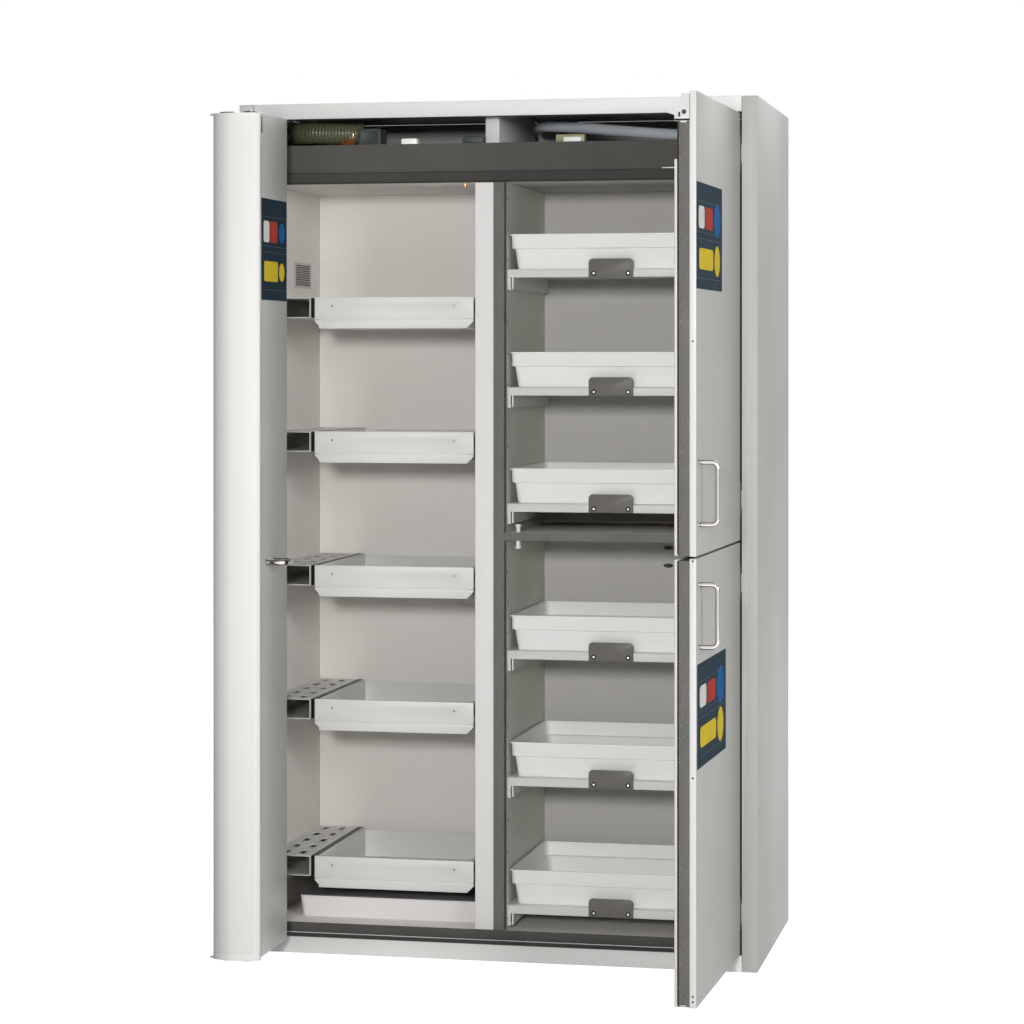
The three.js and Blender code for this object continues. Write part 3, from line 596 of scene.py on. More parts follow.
def edgedCopy(node, slot, paint, width=0.0006, segments=2, body="carcass"):
    # A node's own shape with merged faces, rounded edges and a fresh finish
    piece = nodes[node].copy()
    piece.data = nodes[node].data.copy()
    piece.parent = None
    piece.matrix_world = Matrix.Identity(4)
    piece.name = node + "_finished"
    bpy.context.collection.objects.link(piece)
    enterEdit(piece, action="SELECT")
    bpy.ops.mesh.remove_doubles(threshold=0.00001)
    bpy.ops.mesh.dissolve_limited(angle_limit=math.radians(0.5))
    leaveEdit()
    return settle(softEdges(piece, width, segments), paint, slot, body, node)


def turnedOn(piece, pivot, degrees):
    # From a leaf's own frame, drawn about its hinge, to its place in the cabinet
    turn = Matrix.Rotation(math.radians(degrees), 4, "Z")
    piece.data.transform(Matrix.Translation(Vector(pivot)) @ turn)
    return piece


def addFitting(name, parts, width, segments, paint, slot, body="carcass", turn=None):
    # Small parts joined to one piece and softened, in a leaf's frame where a turn is given
    piece = softEdges(joinPieces(name, parts), width, segments)
    if turn:
        turnedOn(piece, *turn)
    return settle(piece, paint, slot, body)


def tubeAlong(name, points, radiusAt, roundness, smoothAngle):
    # A capped round tube through points; radiusAt gives its radius along its length
    data = bpy.data.curves.new(name, "CURVE")
    data.dimensions = "3D"
    data.bevel_depth = 1.0
    data.bevel_resolution = roundness
    data.use_fill_caps = True
    spline = data.splines.new("POLY")
    spline.points.add(len(points) - 1)
    for i, place in enumerate(points):
        spline.points[i].co = (*place, 1)
        spline.points[i].radius = radiusAt(i / (len(points) - 1))
    makeActive(addToScene(name, data))
    bpy.ops.object.convert(target="MESH")
    return smoothBelow(bpy.context.object, smoothAngle)


def bowHandle(name, legs, out, look, foot):
    # A round bar from one leg to the other, bent at its two corners, on round feet
    first, last = (Vector(leg) for leg in legs)
    corners = [first, first + Vector(out), last + Vector(out), last]
    points = [corners[0]]
    for before, corner, after in zip(corners, corners[1:], corners[2:]):
        start = corner + (before - corner).normalized() * look["barBend"]
        end = corner + (after - corner).normalized() * look["barBend"]
        for step in range(9):
            share = step / 8
            points.append(start * (1 - share) ** 2 + corner * 2 * share * (1 - share) + end * share ** 2)
    points.append(corners[-1])
    parts = [tubeAlong("bar", points, lambda share: look["barRadius"], 5, 50)]
    radius, thick, edge = foot
    for leg in (first, last):
        plate = addRound(leg - Vector((0, thick / 2, 0)), radius, thick, "Y", 32)
        parts.append(softEdges(plate, edge))
    return joinPieces(name, parts)


# Casing sheets and fire boards keep their shape and get folded, rounded edges
casingLook = {
    # The sheets take lit and shaded copies of one powder coat, painted light and shade
    "sheets": {"left": "casing", "right": "door", "rear": "casing", "top": "rail", "base": "rail"},
    "fold": 0.0012,
    "board": 0.0015,
    # Where the top's return fold gets painted shade: behind this depth, between these heights
    "shadeBehind": -0.285,
    "shadeHigh": (1.9145, 1.9485),
    "rearIn": 0.016,
    "rearGroove": (0.0011, 0.0004),
    "rearScrews": (4, 6),
    "screwIn": 0.012,
    "screw": 0.0042,
    "sink": 0.0052,
    "jointX": 0.565,
    "jointWide": 0.0009,
    "jointHigh": (0.0345, 0.001),
    "jointDeep": (-0.3077, -0.3068),
}


def dressRear(sheet):
    # Shallow seam round the rear sheet, with sunk screws inside it
    look = casingLook
    low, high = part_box("casing_rear")
    wide, deep = look["rearGroove"]
    back, inset, lap = high.y, look["rearIn"], 0.0005
    x0, x1, z0, z1 = low.x + inset, high.x - inset, low.z + inset, high.z - inset
    seams = [
        (x0, x1, z0, z0 + wide),
        (x0, x1, z1 - wide, z1),
        (x0, x0 + wide, z0 + lap, z1 - lap),
        (x1 - wide, x1, z0 + lap, z1 - lap),
    ]
    cutters = [addBlock((a, back - deep, c), (b, back + 0.001, d)) for a, b, c, d in seams]
    inset = look["screwIn"]
    x0, x1, z0, z1 = x0 + inset, x1 - inset, z0 + inset, z1 - inset
    across, up = look["rearScrews"]
    spots = [(x0 + (x1 - x0) * i / across, z) for i in range(across + 1) for z in (z0, z1)]
    spots += [(x, z0 + (z1 - z0) * i / up) for i in range(1, up) for x in (x0, x1)]
    heads, sinks = [], []
    for x, z in spots:
        sinks.append(addRound((x, back, z), look["sink"], 2 * deep, "Y", 24))
        head = addRound((x, back - deep, z), look["screw"], 2 * deep - 0.0001, "Y", 24)
        heads.append(softEdges(head, 0.0001, 1))
    cutAway(sheet, [*cutters, joinPieces("sinks", sinks)])
    settle(joinPieces("rear_screws", heads), "zinc", "arm_steel")


def dressCasing():
    look = casingLook
    for side, paint in look["sheets"].items():
        sheet = edgedCopy("casing_" + side, "casing_paint", paint, look["fold"])
        if side == "top":
            # Painted shade: the return fold behind the rail takes the dark damper paint where it stays in
            # shadow
            rail, foot, head = look["shadeBehind"], *look["shadeHigh"]
            markFaces(sheet, "box", lambda spot, normal: spot.y > rail and foot < spot.z < head)
        elif side == "right":
            # Painted shade: the hinge knuckles take the dark damper paint
            markFaces(sheet, "box", knuckleFaces("upper_door_hinge"))
        elif side == "rear":
            dressRear(sheet)
    for side in ("left", "right", "rear", "top", "bottom"):
        edgedCopy("fire_board_" + side, "fire_board", "wall", look["board"])
    edgedCopy("divider", "fire_board", "wall", look["board"])
    edgedCopy("partition", "partition_laminate", "stile", look["board"])

    # Butt joints between the upright stiles and the two rails
    half = look["jointWide"] / 2
    front, back = look["jointDeep"]
    down, edge = look["jointHigh"]
    seams = []
    for top in (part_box("casing_top")[1].z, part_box("casing_base")[1].z):
        for x in (-look["jointX"], look["jointX"]):
            seams.append(addBlock((x - half, front, top - down), (x + half, back, top - edge)))
    addFitting("rail_joints", seams, 0.0001, 1, "seal", "casing_paint")


dressCasing()
print("casing dressed")

# Seals
sealLook = {
    "nodes": {"seal_beam": "beamSeal", "seal_bottom": "seal", "seal_centre": "centreSeal"},
    "line": 0.0014,
    "foot": 0.0036,
    "lip": 0.0242,
    "proud": 0.0004,
    "joint": (-0.26, 0.0005),
    "bar": (0.378, 0.42, 0.0024),
    "hook": (-0.081, 0.011, 0.005),
    "grooveIn": 0.004,
    "stileGap": (0.5512, 0.5642),
}


def dressSeals():
    look = sealLook
    for node, paint in look["nodes"].items():
        edgedCopy(node, "seal_strip", paint, 0.0005)
    low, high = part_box("seal_beam")
    lip = low.z + look["lip"]
    line = look["line"]
    front, back = low.y - look["proud"], low.y + 0.001
    band = addBlock((low.x + 0.0005, low.y - 0.0002, low.z + line), (high.x - 0.0005, back, lip))
    addFitting("beam_lip", [band], 0.0002, 1, "beamLip", "seal_strip")
    x, wide = look["joint"]
    lines = [
        addBlock((low.x, front, lip), (high.x, back, lip + line)),
        addBlock((low.x, front, low.z - 0.0002), (high.x, back, low.z + look["foot"])),
        addBlock((x, low.y + 0.0014, lip), (x + wide, low.y + 0.0022, high.z)),
    ]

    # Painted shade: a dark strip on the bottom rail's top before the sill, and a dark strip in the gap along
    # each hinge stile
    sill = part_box("seal_bottom")[0]
    start = (low.x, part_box("casing_base")[0].y + look["grooveIn"], sill.z - 0.0007)
    sillShade = addBlock(start, (high.x, sill.y - 0.0024, sill.z - 0.0001))
    addFitting("sill_groove", [sillShade], 0.0002, 1, "seal", "seal_strip")
    inner, outer = look["stileGap"]
    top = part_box("seal_centre")[1].z
    for x0, x1 in ((inner, outer), (-outer, -inner)):
        lines.append(addBlock((x0, sill.y + 0.0012, sill.z), (x1, sill.y + 0.003, top)))
    addFitting("seal_grooves", lines, 0.0002, 1, "line", "seal_strip")

    x0, x1, thick = look["bar"]
    bar = addBlock((x0, low.y - 0.0016, lip + 0.002), (x1, back, lip + 0.002 + thick))
    addFitting("bar", [bar], 0.0006, 2, "clip", "seal_strip")
    x, tall, wide = look["hook"]
    hook = addBlock((x, low.y + 0.002, low.z - tall), (x + wide, low.y + 0.006, low.z - 0.0003))
    addFitting("hook", [hook], 0.0012, 2, "brass", "seal_strip")


dressSeals()
print("seals dressed")

# Exhaust pipes and small fittings in the open space over the top board
ductLook = {
    "radius": 0.025,
    "pipeRadius": 0.0125,
    "ribs": 46,
    "ribDepth": 0.0016,
    "lift": 0.0003,
    "depth": 0.45,
    # Share across, share of the depth, height over the board
    "leftRoute": [(-0.6, 0.11, 0.003), (-0.72, 0.1, 0.005), (-0.84, 0.13, 0.008), (-0.93, 0.24, 0.01),
                  (-0.945, 0.45, 0.01), (-0.945, 0.8, 0.01)],
    "rightRoute": [(0.04, 0.8, 0.045), (0.11, 0.52, 0.041), (0.27, 0.4, 0.033), (0.436, 0.3, 0.022),
                   (0.709, 0.168, 0.005), (0.9, 0.13, 0.0)],
    # The damper box's share across and its size, then the clamp round the hose beside it
    "damperAt": 0.61,
    "damperIn": 0.02,
    "damper": (0.052, 0.06, 0.038),
    "clampAt": (0.03, 0.031, 0.002),
    "clamp": (0.0018, 0.034),
    # Name, span across, start behind the board's edge, depth, height, paint
    "boxes": [
        ("relay_box", (-0.2295, -0.193), 0.006, 0.026, 0.012, "clip"),
        ("relay_box_right", (0.15, 0.19), 0.006, 0.03, 0.01, "clip"),
        ("relay_frame_right", (0.13, 0.196), 0.018, 0.024, 0.017, "clipFrame"),
        ("cable_box", (-0.086, -0.038), 0.006, 0.04, 0.015, "box"),
    ],
}


def smoothRoute(route, radius, steps):
    # Catmull-Rom points through the route, over the top board
    look = ductLook
    low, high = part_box("fire_board_top")
    across = high.x + look["lift"]
    height = high.z + look["lift"] + radius
    knots = [Vector((x * across, low.y + look["depth"] * y, height + lift)) for x, y, lift in route]
    knots = [knots[0] * 2 - knots[1]] + knots + [knots[-1] * 2 - knots[-2]]
    points = []
    spans = len(knots) - 3
    for i in range(steps + 1):
        along = min(i / steps * spans, spans - 1e-6)
        k = int(along)
        t = along - k
        a, b, c, d = knots[k:k + 4]
        curve = b * 2 + (c - a) * t + (a * 2 - b * 5 + c * 4 - d) * t ** 2 + (b * 3 - c * 3 + d - a) * t ** 3
        points.append(curve * 0.5)
    return points


def makeDucts():
    look = ductLook
    radius, thin, ribs = look["radius"], look["pipeRadius"], look["ribs"]

    def ribbed(share):
        return radius - look["ribDepth"] * (0.5 + 0.5 * math.cos(share * ribs * 2 * math.pi))

    hose = tubeAlong("exhaust_hose", smoothRoute(look["leftRoute"], radius, ribs * 8), ribbed, 8, 60)
    settle(hose, "hose", "duct", "carcass", "exhaust_duct_left")
    pipe = tubeAlong("exhaust_pipe", smoothRoute(look["rightRoute"], thin, 96), lambda share: thin, 8, 60)
    settle(pipe, "pipe", "duct", "carcass", "exhaust_duct_right")

    low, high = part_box("fire_board_top")
    top = high.z + look["lift"]
    front = low.y + look["damperIn"]
    left = low.x * look["damperAt"]
    wide, deep, tall = look["damper"]
    box = addBlock((left, front, top), (left + wide, front + deep, top + tall))
    recess(box, (0, -1, 0), 0.006, (0, 0.0015, 0))
    addFitting("damper_box", [box], 0.0015, 2, "box", "duct")
    side, behind, up = look["clampAt"]
    thick, long = look["clamp"]
    band = addRound((left - side, front + behind, top + radius + up), radius + thick, long, "X", 48)
    pickFaces(band, lambda centre, normal: abs(normal.x) > 0.9)
    bpy.ops.mesh.inset(thickness=0.0012)
    pushFaces((0, 0, 0), (0.4, 1, 1))
    leaveEdit()
    addFitting("hose_clamp", [band], 0.0008, 2, "brass", "duct")
    for name, (x0, x1), back, deep, tall, paint in look["boxes"]:
        block = addBlock((x0, low.y + back, top), (x1, low.y + back + deep, top + tall))
        recess(block, (0, 0, 1), 0.003, (0, 0, 0.0012))
        addFitting(name, [block], 0.001, 2, paint, "duct")


makeDucts()
print("exhaust pipes made")

# Left compartment
trayLook = {
    "tall": 0.072,
    "panTall": 0.067,
    "panIn": (0.0093, 0.0153),
    "lower": 0.021,
    "chamfer": 0.016,
    "sheet": 0.0015,
    "seam": 0.0009,
    "lap": 0.004,
    "lip": 0.011,
    "hole": 0.0024,
    "holeDown": 0.02,
    "holeShares": (0.11, 0.88),
    "railUp": 0.025,
    "railTall": 0.046,
    "railWide": 0.006,
}


def makeTrays():
    # The front plate has a folded lower strip, the pan stands behind it between its two rails
    look = trayLook
    low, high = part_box("tray_1")
    top = low.z + look["tall"]
    sheet, lap = look["sheet"], look["lap"]
    plateBack = low.y + sheet
    left, right = low.x + look["panIn"][0], high.x - look["panIn"][1]
    split = low.z + look["lower"]

    upper = addBlock((low.x, low.y, split + look["seam"]), (high.x, plateBack, top))
    lower = addBlock((low.x, low.y + 0.0004, low.z), (high.x, plateBack, split))
    roundEdges(lower, look["chamfer"], 1, lambda centre, way: abs(way.y) > 0.9 and centre.z < split - 0.001)
    start = (low.x + lap, low.y + 0.0008, split - lap)
    backing = addBlock(start, (high.x - lap, plateBack, split + lap))
    lipBack = plateBack + look["lip"]
    lip = addBlock((low.x + 0.001, plateBack - 0.0002, top - sheet), (high.x - 0.001, lipBack, top))
    plate = softEdges(joinPieces("plate", [upper, lower, backing, lip]), 0.0005)
    holes = []
    for share in look["holeShares"]:
        spot = (low.x + (high.x - low.x) * share, plateBack, top - look["holeDown"])
        holes.append(addRound(spot, look["hole"], 0.02, "Y", 20))
    tall = look["panTall"]
    pan = addBlock((left, plateBack - 0.0003, low.z), (right, high.y, low.z + tall))
    softEdges(recess(pan, (0, 0, 1), sheet, (0, 0, sheet - tall)), 0.0007)
    cutAway(plate, [copyOf(hole, "hole") for hole in holes])
    cutAway(pan, holes)
    foot = low.z + look["railUp"]
    rails = []
    for x0, inside in ((left - look["railWide"], 1), (right, -1)):
        start = (x0, plateBack + 0.0003, foot)
        rail = addBlock(start, (x0 + look["railWide"], high.y, foot + look["railTall"]))
        rails.append(softEdges(recess(rail, (-inside, 0, 0), 0.009, (0.003 * inside, 0, 0)), 0.0008))
    tray = joinPieces("tray_master", [plate, pan, *rails])
    copyDown("tray", 5, "tray", (tray, "_finished", "white", "white_paint"))


bracketLook = {
    "sheet": 0.0016,
    "tubeWide": 0.101,
    "slots": 5,
    "slot": (0.014, 0.04),
    "slotShares": (0.3, 0.7),
    "slideIn": 0.008,
}


def makeBrackets():
    # Hollow bracket with slots in its top and the fixed slide set back beside it; the tube's inside and the
    # slide carry painted shade
    look = bracketLook
    low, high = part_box("tray_bracket_1")
    edge = low.x + look["tubeWide"]
    deep = high.y - low.y
    tube = addBlock(low, (edge, high.y, high.z))
    recess(tube, (0, -1, 0), look["sheet"], (0, deep - look["sheet"], 0))
    wide, long = look["slot"]
    slots = []
    for step in range(look["slots"]):
        y = low.y + deep * (step + 0.6) / look["slots"] - long / 2
        for share in look["slotShares"]:
            x = low.x + (edge - low.x) * share - wide / 2
            slots.append(addBlock((x, y, high.z - 0.003), (x + wide, y + long, high.z + 0.003)))
    cutAway(tube, [joinPieces("slots", slots)])
    softEdges(tube, 0.0004, 1)
    tube.data.materials.clear()
    tube.data.materials.append(paints["white"])
    rim = 0.001

    def lies(spot, normal):
        across = low.x + rim < spot.x < edge - rim
        return across and low.z + rim < spot.z < high.z - rim and spot.y > low.y + rim / 2

    # Painted shade: a darker grey-green on the tube's inside faces
    markFaces(tube, "liner", lies)
    # The slide takes the dark damper paint as painted shade
    slide = addBlock((edge + 0.0002, low.y + look["slideIn"], low.z), high)
    softEdges(recess(slide, (0, -1, 0), 0.0007, (0, 0.02, 0)), 0.0003, 1)
    copyDown("tray_bracket", 5, "carcass",
             (tube, "_finished", None, "white_paint"), (slide, "_slide", "box", "arm_steel"))
    edgedCopy("tray_runner_panel", "white_paint", "white", 0.0006, 1)


sumpLook = {"corner": 0.012, "flare": 0.005, "sheet": 0.0015, "insertIn": 0.002}


def makeSump():
    look = sumpLook
    flare, sheet = look["flare"], look["sheet"]
    low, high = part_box("sump_tray")
    wide, deep, tall = high - low
    inset = Vector((flare, flare, 0))
    pan = addBlock(low + inset, high - inset - Vector((0, 0, tall - 0.001)))
    roundUprights(pan, look["corner"], 6)
    grow = (wide / (wide - 2 * flare), deep / (deep - 2 * flare), 1)
    pickFaces(pan, lambda centre, normal: normal.z > 0.9)
    pushFaces((0, 0, tall - 0.001), grow)
    pushFaces((0, 0, 0), ((wide - 2 * sheet) / wide, (deep - 2 * sheet) / deep, 1))
    pushFaces((0, 0, sheet - tall), (1 / grow[0], 1 / grow[1], 1))
    leaveEdit()
    softEdges(pan, 0.001).name = "sump_tray_finished"
    settle(pan, "sump", "white_paint", "carcass", "sump_tray")

    low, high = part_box("sump_insert")
    inset = Vector((look["insertIn"], look["insertIn"], 0))
    insert = addBlock(low + inset, high - inset, "sump_insert_finished")
    roundUprights(insert, look["corner"], 6)
    settle(softEdges(insert, 0.0004), "insert", "insert_paint", "carcass", "sump_insert")


ventLook = {"rows": 12, "rim": 0.005, "slotIn": 0.007, "half": 0.27, "shadeIn": 0.006}


def makeVent():
    # Fine slats through a small plate, with a dark block behind them as painted shade
    look = ventLook
    low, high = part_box("vent_grille")
    plate = addBlock(low, high, "vent_grille_finished")
    pitch = (high.z - low.z - 2 * look["rim"]) / look["rows"]
    front, back = low.y + look["slotIn"], high.y - look["slotIn"]
    half = pitch * look["half"]
    slots = []
    for row in range(look["rows"]):
        z = low.z + look["rim"] + pitch * (row + 0.5)
        slots.append(addBlock((low.x - 0.001, front, z - half), (high.x + 0.001, back, z + half)))
    cutAway(plate, [joinPieces("slots", slots)])
    settle(softEdges(plate, 0.0003, 1), "panel", "white_paint", "carcass", "vent_grille")
    rim = look["shadeIn"]
    start = (low.x - 0.0002, low.y + rim, low.z + rim)
    shade = addBlock(start, (low.x + 0.0004, high.y - rim, high.z - rim))
    addFitting("vent_shadow", [shade], 0.0001, 1, "line", "white_paint")


makeTrays()
makeBrackets()
makeSump()
makeVent()
print("left compartment made")

# Right compartment
tubLook = {
    "corner": 0.012,
    "lean": 0.006,
    "step": 0.008,
    "band": 0.034,
    "lip": 0.004,
    "rim": 0.002,
    "wall": 0.0025,
}


def makeTubs():
    look = tubLook
    low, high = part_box("tub_1")
    wide, deep, tall = high - low
    rim, wall, band, lip = look["rim"], look["wall"], look["band"], look["lip"]
    foot = look["lean"] + look["step"] + rim
    waist = look["step"] + rim
    rise = tall - band - 0.001
    tub = addBlock((low.x + foot, low.y + foot, low.z), (high.x - foot, high.y - foot, low.z + 0.001))
    roundUprights(tub, look["corner"], 5)
    # Up the outside, over the rim and down the inside: rise of each step, and how far in it ends
    steps = [
        (rise, waist),
        (0.0015, rim + 0.0022),
        (band - lip - 0.0015, rim + 0.0012),
        (0.0004, 0),
        (lip - 0.0004, 0),
        (0, wall + rim + 0.0012),
        (0.0015 - band, wall + rim + 0.002),
        (-0.0015, waist + wall),
        (wall - rise - 0.001, foot + wall),
    ]
    pickFaces(tub, lambda centre, normal: normal.z > 0.9)
    last = foot
    for up, inset in steps:
        across = (wide - 2 * inset) / (wide - 2 * last)
        pushFaces((0, 0, up), (across, (deep - 2 * inset) / (deep - 2 * last), 1))
        last = inset
    leaveEdit()
    softEdges(tub, 0.0009)
    copyDown("tub", 6, "shelf", (tub, "_finished", "tub", "tub_plastic"))


shelfLook = {
    "strip": 0.019,
    "stripDeep": 0.004,
    "stripRound": 0.0028,
    "sheet": 0.0015,
    "hem": 0.012,
    "slide": 0.028,
    "slideWide": 0.006,
    "grip": (0.103, 0.042, 0.002),
    "gripRound": 0.01,
    "screwIn": 0.012,
    "screwUp": 0.0085,
    "screw": 0.0024,
    "sink": 0.0058,
    "endWide": 0.0074,
    "endHole": 0.003,
    "flange": (0.0094, 0.0134),
}


def makeShelves():
    look = shelfLook
    low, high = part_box("shelf_1")
    top = low.z + look["strip"] + look["slide"]
    gripWide, gripHigh, gripThick = look["grip"]
    front = low.y + gripThick
    sheet, wide = look["sheet"], look["slideWide"]
    foot = top - look["strip"]
    strip = addBlock((low.x, front, foot), (high.x, front + look["stripDeep"], top))

    def frontTop(centre, way):
        return abs(way.x) > 0.9 and centre.z > top - 0.001 and centre.y < front + 0.001

    roundEdges(strip, look["stripRound"], 4, frontTop)
    softEdges(strip, 0.0005)
    deck = addBlock((low.x, front + 0.0035, top - sheet), (high.x, high.y, top))
    hem = addBlock((low.x, high.y - sheet, top - look["hem"]), (high.x, high.y, top - 0.0002))
    parts = [strip, softEdges(joinPieces("deck", [deck, hem]), 0.0004, 1)]
    back, slideTop = front + 0.0045, top - sheet
    for side, inside in ((low.x, 1), (high.x, -1)):
        # A channel slide, its front end with a hole, and an upright flange beside it
        x0, x1 = sorted((side, side + inside * wide))
        slide = addBlock((x0, back, low.z), (x1, high.y, slideTop))
        parts.append(softEdges(recess(slide, (inside, 0, 0), 0.008, (-0.003 * inside, 0, 0)), 0.0006))
        x0, x1 = sorted((side, side + inside * look["endWide"]))
        end = addBlock((x0, front + 0.0025, low.z), (x1, back, foot + 0.001))
        middle = ((x0 + x1) / 2, front + 0.003, low.z + look["slide"] * 0.45)
        cutAway(end, [addRound(middle, look["endHole"], 0.02, "Y", 20)])
        parts.append(softEdges(end, 0.0004))
        x0, x1 = sorted(side + inside * reach for reach in look["flange"])
        flange = addBlock((x0, back, low.z + 0.002), (x1, high.y - 0.002, slideTop))
        parts.append(softEdges(flange, 0.0005, 1))
    shelf = joinPieces("shelf_master", parts)

    middle = (low.x + high.x) / 2
    half = gripWide / 2
    grip = addBlock((middle - half, low.y, foot), (middle + half, front + 0.0005, foot + gripHigh))
    gripTop = foot + gripHigh - 0.001
    roundEdges(grip, look["gripRound"], 6, lambda centre, way: abs(way.y) > 0.9 and centre.z > gripTop)
    softEdges(grip, 0.0005)
    screws, sinks = [], []
    for side in (-1, 1):
        x, z = middle + side * (half - look["screwIn"]), foot + look["screwUp"]
        # Painted shade: a dark disc round each screw for the shade in its sunk seat
        sink = addRound((x, low.y + 0.0004, z), look["sink"], 0.0014, "Y", 32)
        sinks.append(softEdges(sink, 0.0002, 1))
        screw = addRound((x, low.y + 0.0002, z), look["screw"], 0.0014, "Y", 24)
        screws.append(softEdges(recess(screw, (0, -1, 0), 0.0012, (0, 0.0006, 0)), 0.0002))
    copyDown("shelf", 6, "shelf",
             (shelf, "_finished", "shelf", "white_paint"),
             (grip, "_grip", "grip", "white_paint"),
             (joinPieces("screws", screws), "_screws", "screw", "arm_steel"),
             (joinPieces("sinks", sinks), "_screw_sinks", "line", "seal_strip"))


panelLook = {"rows": 24, "hole": 0.0032, "holeIn": 0.012, "seamWide": 0.0038}


def makeRunnerPanels():
    # The inner panel's front edge carries a column of dark dots as painted shade for its holes, a dark seam
    # and a strip
    look = panelLook
    for side in ("inner", "outer"):
        edgedCopy("shelf_runner_panel_" + side, "white_paint", "runner", 0.0006, 1)
    low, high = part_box("shelf_runner_panel_inner")
    rise = (high.z - low.z) / look["rows"]
    spot = (high.x - 0.0002, low.y + look["holeIn"], low.z + rise / 2)
    dot = softEdges(addRound(spot, look["hole"], 0.0007, "X", 16), 0.0002, 1)
    dots = [copyOf(dot, "dot", (0, 0, rise * row)) for row in range(look["rows"])]
    discard(dot)
    split = low.x + look["seamWide"]
    seam = addBlock((low.x + 0.0002, low.y - 0.0004, low.z), (split, low.y + 0.004, high.z))
    dots.append(softEdges(seam, 0.0003, 1))
    settle(joinPieces("panel_holes", dots), "line", "seal_strip")
    edge = addBlock((split, low.y - 0.0003, low.z), (high.x + 0.0001, low.y + 0.002, high.z))
    addFitting("panel_edge", [edge], 0.0003, 1, "centreSeal", "seal_strip")


wallLook = {
    "portX": 0.323,
    "portZ": (0.909, 0.866),
    "port": 0.012,
    "portFlat": 0.42,
    "studIn": (0.024, 0.014),
    "stud": (0.005, 0.014, 0.007),
    "studCap": (0.0075, 0.005, 0.016),
}


def makeWallFittings():
    # Two port covers on the rear wall and two levelling studs at the divider
    look = wallLook
    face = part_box("fire_board_rear")[0].y
    covers = []
    for z in look["portZ"]:
        cover = addRound((look["portX"], face - 0.001, z), look["port"], 0.003, "Y", 40)
        stretch(cover, (1, 1, look["portFlat"]))
        covers.append(softEdges(recess(cover, (0, -1, 0), 0.0016, (0, 0.0014, 0)), 0.0003))
    settle(joinPieces("port_covers", covers), "box", "fire_board")
    low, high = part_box("divider")
    x, y = low.x + look["studIn"][0], low.y + look["studIn"][1]
    studs = []
    for side, z in ((1, high.z), (-1, low.z)):
        for radius, depth, away in (look["stud"], look["studCap"]):
            studs.append(softEdges(addRound((x, y, z + side * away), radius, depth, "Z", 24), 0.001))
    settle(joinPieces("divider_studs", studs), "clip", "fire_board")


makeTubs()
makeShelves()
makeRunnerPanels()
makeWallFittings()
print("right compartment made")

# Folding door
foldLook = {
    "halfWide": 0.0535,
    "bulge": 0.017,
    "back": 0.0242,
    "edge": 0.003,
    "capOut": 0.0022,
    "capHigh": 0.003,
    "footBand": 0.014,
    "tab": (0.0075, 0.004),
    "tabDeep": (-0.031, -0.0245),
    "tongue": 0.012,
    "tongueThick": 0.0018,
    # Height over the foot and over the head, radius and depth of the pins
    "pinLow": (-0.0012, 0.007, 0.0024),
    "pinHigh": (0.001, 0.006, 0.003),
    "face": -0.0231,
    "barRadius": 0.006,
    "barBend": 0.0144,
    "barOut": 0.043,
    "barLegs": (0.038, 0.1),
    "foot": (0.0085, 0.002, 0.0006),
    # Place and half depth of the dark end plugs, then place across and half width of each
    "plugAt": -0.0335,
    "plugDeep": 0.0065,
    "plugsHigh": ((-0.02, 0.0165), (0.026, 0.009)),
    "plugsLow": ((-0.022, 0.005), (0.024, 0.005)),
    # On the front leaf beside the profile: span along the leaf, and down from its head
    "plate": ((0.001, 0.0085), (0.041, 0.004)),
}


def lensBlock(out, z0, z1):
    # Half an ellipse in plan, with a flat back, raised from z0 to z1
    look = foldLook
    clearSelection()
    bpy.ops.mesh.primitive_cylinder_add(vertices=128, radius=1, depth=1, location=(0, 0, (z0 + z1) / 2))
    stretch(bpy.context.object, (look["halfWide"] + out, look["bulge"] + out, z1 - z0))
    piece = placedPrimitive()
    for point in piece.data.vertices:
        if point.co.y > 1e-6:
            point.co.y = look["edge"]
    piece.data.transform(Matrix.Translation((0, -look["back"] - look["edge"], 0)))
    return piece


def makeProfile(foot, head, middle, span):
    # The lens-shaped hollow profile with end caps, hinge tongues, pins and dark end plugs
    look = foldLook
    cap, band = look["capHigh"], look["footBand"]
    lenses = [
        (0, foot + band + 0.0008, head - cap),
        (0.0003, foot + cap, foot + band),
        (look["capOut"], foot, foot + cap),
        (look["capOut"], head - cap, head),
    ]
    parts = [softEdges(lensBlock(*lens), 0.0008) for lens in lenses]
    outer, inner = look["tab"]
    front, back = look["tabDeep"]
    side = -look["halfWide"]
    for z in (foot + 0.001, head - 0.005):
        tab = addBlock((side - outer, front, z), (side + inner, back, z + 0.004))
        parts.append(softEdges(tab, 0.0008))
    parts.append(lensBlock(-0.001, foot + 0.001, head - 0.001))
    long, thick = look["tongue"], look["tongueThick"]
    reach = span / 2 + long
    for z in (foot, head - thick):
        tongue = addBlock((-reach, -look["back"] - 0.002, z), (reach, long, z + thick))
        parts.append(softEdges(tongue, 0.0004, 1))
    profile = turnedOn(joinPieces("fold_profile_finished", parts), middle, 0)
    settle(profile, "profile", "profile_paint", "fold_profile", "fold_profile")

    pins = []
    for x in (-span / 2, span / 2):
        for end, (up, radius, depth) in ((foot, look["pinLow"]), (head, look["pinHigh"])):
            pins.append(softEdges(addRound((x, 0, end + up), radius, depth), 0.0006))
    settle(turnedOn(joinPieces("fold_pins", pins), middle, 0), "zinc", "arm_steel", "fold_profile")
    plugs = []
    for z, places in ((head + 0.0012, look["plugsHigh"]), (foot - 0.0008, look["plugsLow"])):
        for x, half in places:
            plug = addRound((x, look["plugAt"], z), half, 0.003, "Z", 40)
            stretch(plug, (1, min(1, look["plugDeep"] / half), 1))
            plugs.append(softEdges(plug, 0.0004, 1))
    settle(turnedOn(joinPieces("profile_plugs", plugs), middle, 0), "line", "seal_strip", "fold_profile")


